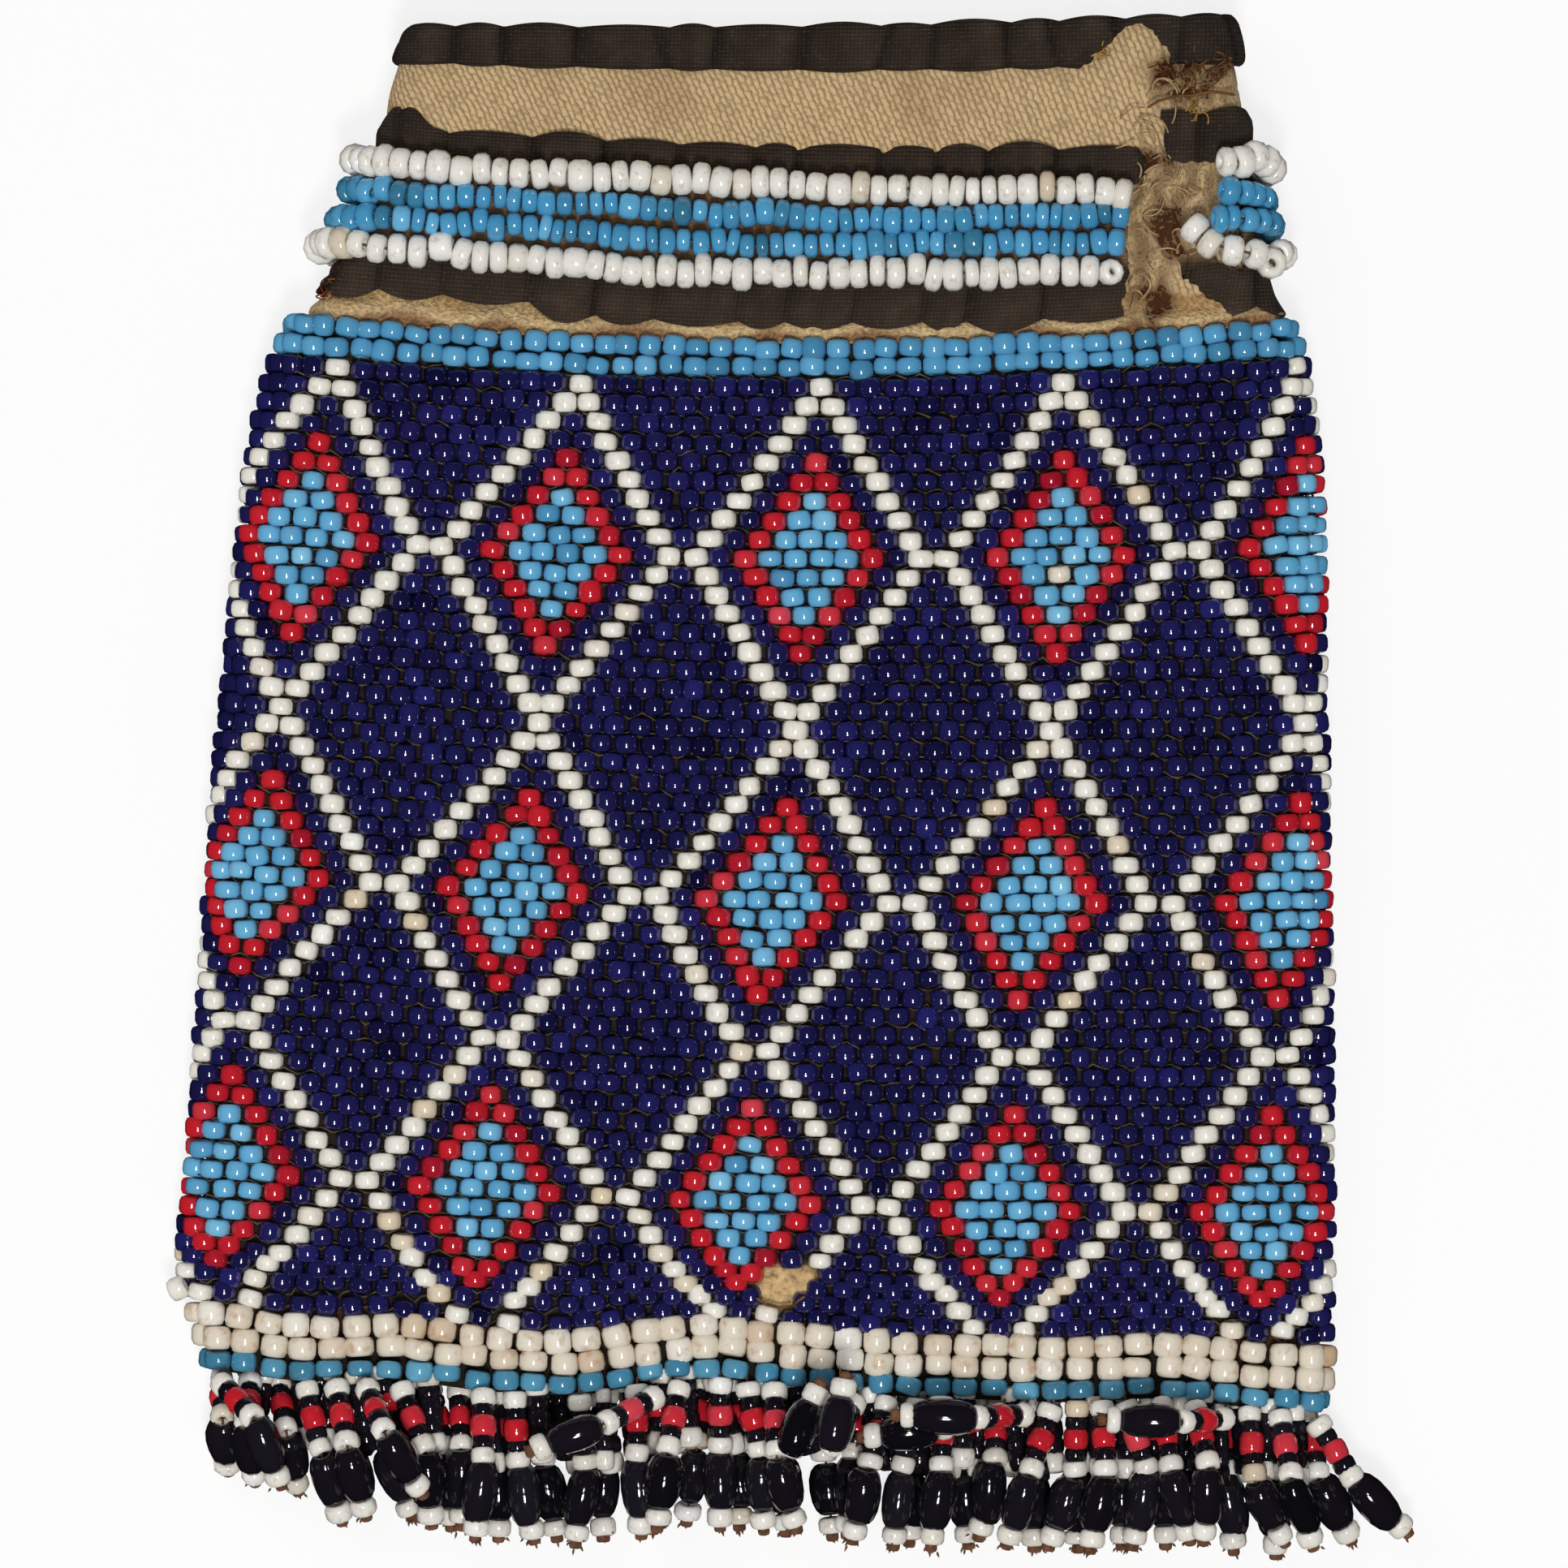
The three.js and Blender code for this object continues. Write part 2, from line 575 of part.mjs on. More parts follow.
// A run of beads from a point along a direction: middle, half length, radius and direction of each
function beadRun(beads, start, direction) {
  let at = 0;
  return beads.map(({ length, diameter }) => {
    const middle = start.clone().addScaledVector(direction, at + length / 2);
    at += length;
    return { middle, direction, half: length / 2, radius: diameter / 2 };
  });
}

// A direction in plan that also climbs or sinks by a height over its length
function sloped(plan, length, rise) {
  const climb = THREE.MathUtils.clamp(rise / length, -0.8, 0.8);
  const level = Math.sqrt(1 - climb ** 2);
  return new THREE.Vector3(plan.x * level, plan.y * level, climb);
}

// The root and all beads of a strand whose long bead lies at a height
function strandBeads([across, small, long, sink], layer, height) {
  const section = sectionAt(hemBottom);
  const middle = section.back + section.depth / 2;
  const hemRow = section.depth / 2 + GAP + HEM_BLUE_BEAD / 2;
  const foot = lay(new THREE.Vector3(across, hemBottom, middle + layer.side * hemRow));
  foot.y -= GAP;
  const root = foot.clone();
  foot.z += layer.lift * Math.max(0, height - layer.rest);
  const first = sloped(downAt(small), SMALL_LENGTH, height + sink - foot.z);
  const leaned = Math.abs(Math.sin(THREE.MathUtils.degToRad(small)));
  const swung = Math.sqrt(1 - first.y ** 2) + (STRAND_WHITE.length / STRAND_WHITE.diameter) * first.y;
  foot.y -= (STRAND_WHITE.diameter / 2) * Math.max(leaned, swung);
  const upper = beadRun(SMALL_BEADS, foot, first);
  const joint = foot.clone().addScaledVector(first, SMALL_LENGTH);
  if (layer.isFolded) joint.z += STRAND_LONG.diameter;
  const low = sloped(downAt(long), LOW_LENGTH, -sink);
  return { root, beads: [...upper, ...beadRun(LOW_BEADS, joint, low)] };
}

// Balls that stand for a strand when strands are laid over each other
function ballsOf(beads) {
  return beads.flatMap(({ middle, direction, half, radius }) => {
    const spare = Math.max(half - radius * 0.7, 0);
    const places = spare > 0 ? [-spare, -spare / 2, 0, spare / 2, spare] : [0];
    return places.map((at) => ({ centre: middle.clone().addScaledVector(direction, at), radius }));
  });
}

function rootBall(root) {
  return { centre: root, radius: STRAND_WAIST / 2 };
}

function touches(balls, others) {
  return balls.some((a) => others.some((b) => {
    const reach = a.radius + b.radius + STRAND_CLEARANCE;
    return a.centre.distanceToSquared(b.centre) < reach ** 2;
  }));
}

// Each strand is lowered until it lies on the table or on the strands below it
function layStrands() {
  const rest = STRAND_LONG.diameter / 2 + SEAM;
  const frontRest = rest + STRAND_LONG.diameter + SEAM;
  const layers = [
    [BACK_STRANDS, { side: -1, lift: 0.4, rest }],
    [HIDDEN_STRANDS, { side: -1, lift: 0.4, rest, isHidden: true }],
    [FRONT_STRANDS, { side: 1, lift: 0.4, rest: frontRest }],
    [FOLDED_STRANDS, { side: 1, lift: 0.4, rest: frontRest, isFolded: true }],
  ];
  const step = 0.1;
  const placed = [];
  const strands = [];
  for (const [list, layer] of layers) {
    for (const strand of list) {
      let height = layer.rest;
      let laid = strandBeads(strand, layer, height);
      while (touches(ballsOf(laid.beads), placed)) {
        height += step;
        laid = strandBeads(strand, layer, height);
      }
      placed.push(...ballsOf(laid.beads), rootBall(laid.root));
      strands.push({ ...laid, isHidden: Boolean(layer.isHidden) });
    }
  }
  return strands;
}

// A ring of points about a strand's axis
const STRAND_SIDES = 5;

function strandRing(centre, direction, radius) {
  const across = new THREE.Vector3(0, 0, 1).cross(direction);
  if (across.length() < 0.1) across.set(1, 0, 0);
  across.normalize();
  const up = new THREE.Vector3().crossVectors(direction, across).normalize();
  return Array.from({ length: STRAND_SIDES }, (_, i) => {
    const angle = (2 * Math.PI * i) / STRAND_SIDES;
    return centre.clone()
      .addScaledVector(across, radius * Math.cos(angle))
      .addScaledVector(up, radius * Math.sin(angle));
  });
}

// One strand as a closed skin: the thread out of the hem, a ring at each small bead, two on the long
// bead and thin necks beside it
function fringeStrand({ root, beads }) {
  const longIndex = SMALL_BEADS.length;
  const along = (item, at) => item.middle.clone().addScaledVector(item.direction, at * item.half);
  const neck = STRAND_WAIST / 2;
  const rings = [strandRing(root, downAt(0), neck)];
  beads.forEach((item, index) => {
    if (index === longIndex) {
      const before = along(beads[index - 1], 1);
      const bend = item.direction.clone().add(beads[index - 1].direction);
      const turned = bend.length() < 0.5 ? new THREE.Vector3(0, 0, 1) : bend.normalize();
      rings.push(strandRing(before.add(along(item, -1)).multiplyScalar(0.5), turned, neck));
      for (const at of [-0.5, 0.5]) rings.push(strandRing(along(item, at), item.direction, item.radius));
      rings.push(strandRing(along(item, 1), item.direction, neck));
    } else {
      rings.push(strandRing(item.middle, item.direction, item.radius));
    }
  });
  const flatEnd = spread(0, 2 * Math.PI, STRAND_SIDES).slice(0, -1)
    .map((angle) => new THREE.Vector2(Math.cos(angle), Math.sin(angle)));
  return skin(rings, false, flatEnd);
}

// The row of beads along the hem's foot, joined to the strands that hang hidden behind the others
function hemRowBlue(strands) {
  let solid = solidOf(beadRows(hemBottom, hemBlueTop, HEM_BLUE_BEAD, 1));
  for (const { root, beads } of strands) {
    const inRow = root.clone().setY(root.y + GAP + HEM_BLUE_HEIGHT / 2);
    solid = solid.add(solidOf(fringeStrand({ root: inRow, beads })));
  }
  const mesh = solid.getMesh();
  const points = [];
  for (let i = 0; i < mesh.vertProperties.length; i += mesh.numProp) {
    points.push(new THREE.Vector3(...mesh.vertProperties.slice(i, i + 3)));
  }
  return facingOut(points, Array.from(mesh.triVerts));
}

const strings = stringHeights();
const allStrands = layStrands();

addPiece('canvas_pouch', canvasPouch(), CANVAS_TAN);
addPiece('mouth_binding', mouthBinding(), DARK_COTTON);
addPiece('neck_band', neckBand(), DARK_COTTON);
addPiece(
  'bead_string_white_upper',
  beadString(strings.whiteUpper, WHITE_STRING_BEAD, WHITE_STRING_PITCH, false),
  CREAM_BEAD,
);
addPiece(
  'bead_string_blue_upper',
  beadString(strings.blueUpper, BLUE_STRING_BEAD, BLUE_STRING_PITCH, false),
  SKY_BEAD,
);
addPiece(
  'bead_string_blue_lower',
  beadString(strings.blueLower, BLUE_STRING_BEAD, BLUE_STRING_PITCH, false),
  SKY_BEAD,
);
addPiece(
  'bead_string_white_lower',
  beadString(strings.whiteLower, WHITE_STRING_BEAD, WHITE_STRING_PITCH, true),
  CREAM_BEAD,
);
addPiece('header_rows', beadRows(headerBottom, headerTop, HEADER_BEAD, 2), SKY_BEAD);
addPiece('bead_sleeve', beadSleeve(), NAVY_BEAD);
addPiece('white_lattice', whiteLattice(), CREAM_BEAD);
addPiece('hem_rows_white', beadRows(hemWhiteBottom, hemTop, HEM_BEAD, 2), HEM_CREAM_BEAD);
addPiece('hem_row_blue', hemRowBlue(allStrands.filter((strand) => strand.isHidden)), SKY_BEAD);
allStrands.filter((strand) => !strand.isHidden).forEach((strand, index) => {
  addPiece(`fringe_strand_${String(index + 1).padStart(2, '0')}`, fringeStrand(strand), BLACK_BEAD);
});

export default bag;
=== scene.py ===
import itertools

import bpy
import numpy as np
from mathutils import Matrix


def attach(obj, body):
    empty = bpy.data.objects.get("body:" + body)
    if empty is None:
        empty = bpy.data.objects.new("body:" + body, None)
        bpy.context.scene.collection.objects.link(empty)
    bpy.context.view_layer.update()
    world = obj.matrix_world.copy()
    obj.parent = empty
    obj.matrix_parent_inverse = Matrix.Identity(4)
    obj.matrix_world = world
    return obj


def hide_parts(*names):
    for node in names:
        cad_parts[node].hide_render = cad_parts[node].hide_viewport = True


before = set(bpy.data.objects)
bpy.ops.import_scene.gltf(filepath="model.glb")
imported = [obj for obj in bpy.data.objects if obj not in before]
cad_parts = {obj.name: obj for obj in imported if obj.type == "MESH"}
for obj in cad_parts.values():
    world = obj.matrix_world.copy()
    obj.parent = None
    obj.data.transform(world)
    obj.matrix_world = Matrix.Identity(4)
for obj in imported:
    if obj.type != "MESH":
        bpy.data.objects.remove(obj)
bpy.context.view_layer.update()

bl_info = {
    "name": "Beaded tobacco bag",
    "version": (1, 0, 0),
    "blender": (4, 5, 0),
    "location": "3D View > Sidebar > Bag",
    "description": "Dresses the solids of a beaded cloth bag with beads, cloth and thread",
    "category": "Object",
}

MM = 0.001
TURN = 2 * np.pi

# Heights along the bag in millimetres, from the mouth down
BINDING_TOP = 79.75
RIM = 78.65
BINDING_BOTTOM = 74.75
BAND_TOP = 66.35
BAND_BOTTOM = 48.25
HEADER_TOP = 46.45
HEADER_BOTTOM = 42.55
FIELD_TOP = 42.4
FIELD_BOTTOM = -56.5
HEM_TOP = -56.65
HEM_MIDDLE = -58.9
HEM_WHITE_BOTTOM = -61.15
HEM_BLUE_TOP = -61.3
HEM_BOTTOM = -63.1
STRING_HEIGHTS = {"white_upper": 62.35, "blue_upper": 59.28, "blue_lower": 56.38, "white_lower": 53.3}

# Sections of the pouch in millimetres: place along the bag, then width, depth, height of the back,
# sideways lean, bow of the rows at both edges, drop towards the right, and twist of the pattern
STATION_Y = np.array([-63.1, -56.65, -54.5, -39.5, -21.5, 0, 30, 42.4, 50.75, 61.35, 70.35, 79.75])
STATIONS = {
    "width": [112.5, 115, 117, 115.5, 113.9, 112, 108.5, 104.3, 96, 89.5, 89.5, 85],
    "depth": [2.4, 2.4, 3, 4.6, 6.3, 8, 8, 8, 7, 7, 7, 9.4],
    "back": [3.2, 3.2, 2.75, 2.75, 2.75, 2.75, 2.75, 2.75, 4.75, 4.75, 4.75, 3.65],
    "lean": [-1.9, -2.4, -3.2, -2.4, -1.9, -1.3, -0.1, 0.4, 1.7, 3, 3.4, 3.8],
    "bow": [-0.6, -0.2, 1, 1.4, 1.5, 1.6, 2.2, 2.4, 2.2, 1.5, 1, 0.6],
    "tilt": [2.1, 2.1, 2.3, 2.3, 1.8, 1.2, 0.4, 0.1, 0.6, 1.4, 0.6, -0.7],
    "twist": [-1.9, -1.9, -1.9, -1.2, -0.8, 2, 3.2, 3.6, 3.6, 3.6, 3.6, 3.6],
}
FINE_STEP = 0.5
FINE_Y = np.arange(-110, 110, FINE_STEP)
SMOOTHING = 1.6
BELL_REACH = 12


def rounded_off(values, spread):
    """A bell-shaped average over the neighbours of each value, with both ends held; spread is in steps."""
    reach = np.arange(-BELL_REACH, BELL_REACH + 1)
    weight = np.exp(-0.5 * (reach / spread) ** 2)
    padded = np.pad(values, BELL_REACH, mode="edge")
    return np.convolve(padded, weight / weight.sum(), mode="valid")


# Straight lines between the stations, rounded off along the bag
SECTION = {
    name: rounded_off(np.interp(FINE_Y, STATION_Y, values), SMOOTHING / FINE_STEP)
    for name, values in STATIONS.items()
}


def along(name, y):
    """A section value at places along the bag."""
    return np.interp(y, FINE_Y, SECTION[name])


def girth(y, proud):
    """Length round a section: two straight runs and two half circles."""
    depth = along("depth", y)
    return 2 * (along("width", y) - depth) + TURN * (depth / 2 + proud)


# Uneven lower edge: places across the hem and how far it is pulled up there, in millimetres
HEM_WAVE_X = np.array([-59.5, -50.4, -40.9, -31.5, -21.8, -16, -6.9, -1, 11.6, 30.3, 39.4, 48.6, 55])
HEM_WAVE_UP = np.array([0.3, -0.8, -0.2, -1.3, -1.6, -0.3, 1.0, 0.3, -0.3, -0.2, 0.9, 0.3, 0])
HEM_WAVE_FROM = -44.0
HEM_SMOOTHING = 2.0
HEM_FINE_X = np.linspace(-64, 64, 257)
HEM_FINE_UP = rounded_off(np.interp(HEM_FINE_X, HEM_WAVE_X, HEM_WAVE_UP), HEM_SMOOTHING / FINE_STEP)


def hem_wave(x, y):
    """The hem's waves, which fade out upwards through the last rows of the sleeve."""
    share = np.clip((HEM_WAVE_FROM - y) / (HEM_WAVE_FROM - HEM_TOP), 0, 1)
    return np.interp(x, HEM_FINE_X, HEM_FINE_UP) * share**2


def lay(points):
    """Rows bow up towards both edges by the square of the place across, and slope down to the right."""
    x, y, z = points[..., 0], points[..., 1], points[..., 2]
    across = (x - along("lean", y)) / (along("width", y) / 2)
    moved = y + along("bow", y) * across**2 - along("tilt", y) * across + hem_wave(x, y)
    return np.stack([x, moved, z], axis=-1)


# Low swells of the soft front in millimetres: height, and lengths over which they turn across and along
BROAD_SWELL = 0.3
BROAD_ACROSS = 13
BROAD_ALONG = 17
SLANT_SWELL = 0.16
SLANT_ACROSS = 6.5
SLANT_ALONG = 8.5


def lumps(x, y):
    """A product of slow waves across and along, plus a smaller wave that runs aslant."""
    broad = BROAD_SWELL * np.sin(x / BROAD_ACROSS + 1.1) * np.sin(y / BROAD_ALONG + 0.4)
    return broad + SLANT_SWELL * np.sin(x / SLANT_ACROSS - y / SLANT_ALONG)


def surface(y, run, line, proud):
    """Points and outward directions at a distance along the section's curve from the middle of its front.

    The run is measured on the curve that stands off the pouch by line. Flat front, half circle, flat back,
    half circle follow each other; the point then stands off the pouch by proud.
    """
    y, run, line, proud = np.broadcast_arrays(*(np.asarray(v, float) for v in (y, run, line, proud)))
    depth = along("depth", y)
    reach = (along("width", y) - depth) / 2
    radius = depth / 2 + line
    whole = 4 * reach + TURN * radius
    wrapped = (run + whole / 2) % whole - whole / 2
    side = np.where(wrapped < 0, -1.0, 1.0)
    far = np.abs(wrapped)
    angle = np.clip((far - reach) / radius, 0, np.pi)
    flat = np.where(far < reach + np.pi * radius, np.minimum(far, reach), 2 * reach + np.pi * radius - far)
    out = np.stack([side * np.sin(angle), np.zeros_like(y), np.cos(angle)], axis=-1)
    x = along("lean", y) + side * flat + out[..., 0] * (depth / 2 + proud)
    z = along("back", y) + depth / 2 + out[..., 2] * (depth / 2 + proud)
    z = z + lumps(x, y) * np.clip(out[..., 2], 0, 1)
    return lay(np.stack([x, y, z], axis=-1)), out


def unit(vectors):
    """Vectors divided by their length."""
    return vectors / np.linalg.norm(vectors, axis=-1, keepdims=True)


def linear(hex_code):
    """An sRGB hex colour as linear red, green and blue."""
    channels = np.array([int(hex_code[i : i + 2], 16) for i in (1, 3, 5)]) / 255
    low = channels / 12.92
    high = ((channels + 0.055) / 1.055) ** 2.4
    return tuple(float(c) for c in np.where(channels <= 0.04045, low, high))


def rgba(colour):
    """A colour with full opacity."""
    return (*tuple(colour)[:3], 1.0)


def colour_prop(label, words, hex_code):
    """A colour that the user may change."""
    return bpy.props.FloatVectorProperty(
        name=label, description=words, default=linear(hex_code), subtype="COLOR", size=3, min=0, max=1
    )


def size_prop(label, words, millimetres):
    """A length that the user may change."""
    return bpy.props.FloatProperty(
        name=label, description=words, default=millimetres * MM,
        unit="LENGTH", subtype="DISTANCE", min=0, precision=5,
    )


class BagSizes(bpy.types.PropertyGroup):
    """Sizes of beads, cloth and thread."""

    gap: size_prop("Gap", "Clearance between the pouch and what is sewn on it", 0.3)
    field_bead: size_prop("Field bead", "Diameter of a white bead of the sleeve", 2.5)
    field_bead_length: size_prop("Field bead length", "Length of a white bead along its hole", 1.95)
    hem_bead: size_prop("Hem bead", "Diameter of a cream bead of the hem", 2.95)
    white_string_bead: size_prop("White string bead", "Diameter of a white neck bead", 3.35)
    blue_string_bead: size_prop("Blue string bead", "Diameter of a blue neck bead", 2.85)
    white_string_pitch: size_prop("White pitch", "Spacing of the white neck beads", 2.0)
    blue_string_pitch: size_prop("Blue pitch", "Spacing of the blue neck beads", 1.68)
    thread: size_prop("Thread", "Diameter of the sewing thread", 0.28)


class BagColours(bpy.types.PropertyGroup):
    """Colours of glass, cloth and thread."""

    navy: colour_prop("Navy glass", "Dark cobalt beads of the field", "#1c1b4c")
    cream: colour_prop("Cream glass", "White beads of the lattice", "#ebe7dc")
    string_cream: colour_prop("String cream", "White beads of the neck strings and the fringe", "#e9e5dc")
    hem_cream: colour_prop("Hem cream", "Stained beads of the hem", "#e0d6c4")
    red: colour_prop("Red glass", "Red beads of the diamonds", "#c2202c")
    sky: colour_prop("Sky glass", "Pale blue beads of the diamonds", "#66aed6")
    header: colour_prop("Header glass", "Blue beads along the top of the sleeve", "#539bc5")
    string_blue: colour_prop("String blue", "Blue beads of the neck strings", "#4796c2")
    teal: colour_prop("Teal glass", "Blue beads of the hem", "#4388a8")
    black: colour_prop("Black glass", "Black fringe beads", "#141218")
    canvas: colour_prop("Canvas", "Tan twill of the pouch", "#bea279")
    cotton: colour_prop("Dark cotton", "Binding and neck band", "#2b221b")
    thread: colour_prop("Thread", "Brown sewing thread", "#5a4d40")


def sizes():
    """The sizes in millimetres."""
    group = bpy.context.scene.bag_sizes
    return {name: getattr(group, name) / MM for name in BagSizes.__annotations__}


def colours():
    """The colours, in linear light."""
    return bpy.context.scene.bag_colours


def add_node(tree, kind, settings=None, values=None, links=None, stops=()):
    """Adds a shader node, sets its options and socket values, and links other nodes' outputs into it.

    A colour ramp also takes its stops, as pairs of place and colour.
    """
    node = tree.nodes.new("ShaderNode" + kind)
    for name, value in (settings or {}).items():
        setattr(node, name, value)
    for name, value in (values or {}).items():
        node.inputs[name].default_value = value
    for name, (source, output) in (links or {}).items():
        tree.links.new(source.outputs[output], node.inputs[name])
    for _ in stops[2:]:
        node.color_ramp.elements.new(0.5)
    for number, (place, colour) in enumerate(stops):
        node.color_ramp.elements[number].position = place
        node.color_ramp.elements[number].color = rgba(colour)
    return node


def new_material(name):
    """An empty node material and its node tree."""
    material = bpy.data.materials.new(name)
    material.use_nodes = True
    material.node_tree.nodes.clear()
    return material, material.node_tree


def shade(colour, factor):
    """A colour made darker or paler by a factor."""
    return tuple(float(np.clip(c * factor, 0, 1)) for c in tuple(colour)[:3])


def finish_material(tree, colour, values, bump=None, rough=None):
    """The surface shader from a colour node's Color, plain values, and optional bump and roughness."""
    links = {"Base Color": colour}
    if bump:
        links["Normal"] = (bump, "Normal")
    if rough:
        links["Roughness"] = rough
    shader = add_node(tree, "BsdfPrincipled", values=values, links=links)
    add_node(tree, "OutputMaterial", links={"Surface": (shader, "BSDF")})


# Soil on the beads: colour, and size of a smear in millimetres
HAND_SOIL = ("#9a7650", 0.8)
HEM_SOIL = ("#b58660", 1.5)
# Glasses of the beads: name of the colour, darkest or most stained bead, palest bead, share of soil,
# roughness, gloss, tones on each side of the middle that are alike, and kind of soil
GLASSES = {
    "cobalt glass": ("navy", "#0f0e32", "#242364", 0.0, 0.08, 0.95, 0.06, HAND_SOIL),
    "cream opaque glass": ("cream", "#dccbb0", "#f4f2ec", 0.3, 0.14, 0.6, 0.28, HAND_SOIL),
    "scarlet glass": ("red", "#98152a", "#d64452", 0.0, 0.1, 0.8, 0.06, HAND_SOIL),
    "sky-blue opaque glass": ("sky", "#4a8fba", "#86c6e6", 0.2, 0.12, 0.8, 0.06, HAND_SOIL),
    "sky-blue header glass": ("header", "#39789c", "#6cb2da", 0.2, 0.1, 0.95, 0.06, HAND_SOIL),
    "stained cream glass": ("hem_cream", "#c9ac8c", "#f3f0e9", 0.7, 0.14, 0.6, 0.12, HEM_SOIL),
    "teal opaque glass": ("teal", "#2f6077", "#65a8c6", 0.25, 0.12, 0.8, 0.06, HAND_SOIL),
    "cream string glass": ("string_cream", "#d3c4aa", "#f4f2ee", 0.45, 0.12, 0.8, 0.24, HAND_SOIL),
    "blue string glass": ("string_blue", "#32708c", "#68b4de", 0.25, 0.1, 0.95, 0.06, HAND_SOIL),
    "cream fringe glass": ("string_cream", "#d3c4aa", "#f4f2ee", 0.4, 0.13, 0.6, 0.2, HAND_SOIL),
    "scarlet fringe glass": ("red", "#98152a", "#d64452", 0.0, 0.1, 0.8, 0.06, HAND_SOIL),
    "black glass": ("black", "#0b0a0e", "#1d1b22", 0.0, 0.07, 0.5, 0.06, HAND_SOIL),
}


def glass_bead_material(name):
    """Pressed or drawn glass: each bead has its own tone, with soft soil and a slightly worn polish.

    The tone attribute is one number per bead, so that neighbours differ as hand-sorted beads do. Soil is a
    noise of about the size, in millimetres, of the smears that handling leaves on a bead. Tones closer to
    the middle than alike have the plain colour.
    """
    label, dark, pale, soil, roughness, gloss, alike, (smear_hex, smear_size) = GLASSES[name]
    colour = getattr(colours(), label)
    material, tree = new_material(name)
    tone = add_node(tree, "Attribute", {"attribute_name": "tone"})
    body = add_node(
        tree, "ValToRGB", links={"Fac": (tone, "Fac")},
        stops=[(0.0, linear(dark)), (0.5 - alike, colour), (0.5 + alike, colour), (1.0, linear(pale))],
    )
    place = add_node(tree, "TexCoord")
    noise = add_node(
        tree, "TexNoise", values={"Scale": 1 / (smear_size * MM), "Detail": 3.0, "Roughness": 0.6},
        links={"Vector": (place, "Object")},
    )
    smear = add_node(
        tree, "MapRange", {"interpolation_type": "SMOOTHSTEP"},
        {"From Min": 0.5, "From Max": 0.78, "To Min": 0.0, "To Max": soil}, {"Value": (noise, "Fac")},
    )
    mixed = add_node(
        tree, "Mix", {"data_type": "RGBA"}, {7: rgba(linear(smear_hex))},
        {0: (smear, "Result"), 6: (body, "Color")},
    )
    rough = add_node(
        tree, "MapRange",
        values={"From Min": 0.3, "From Max": 0.7, "To Min": roughness * 0.85, "To Max": roughness * 1.2},
        links={"Value": (noise, "Fac")},
    )
    finish_material(tree, (mixed, 2), {"IOR": 1.52, "Specular IOR Level": gloss}, rough=(rough, "Result"))
    return material


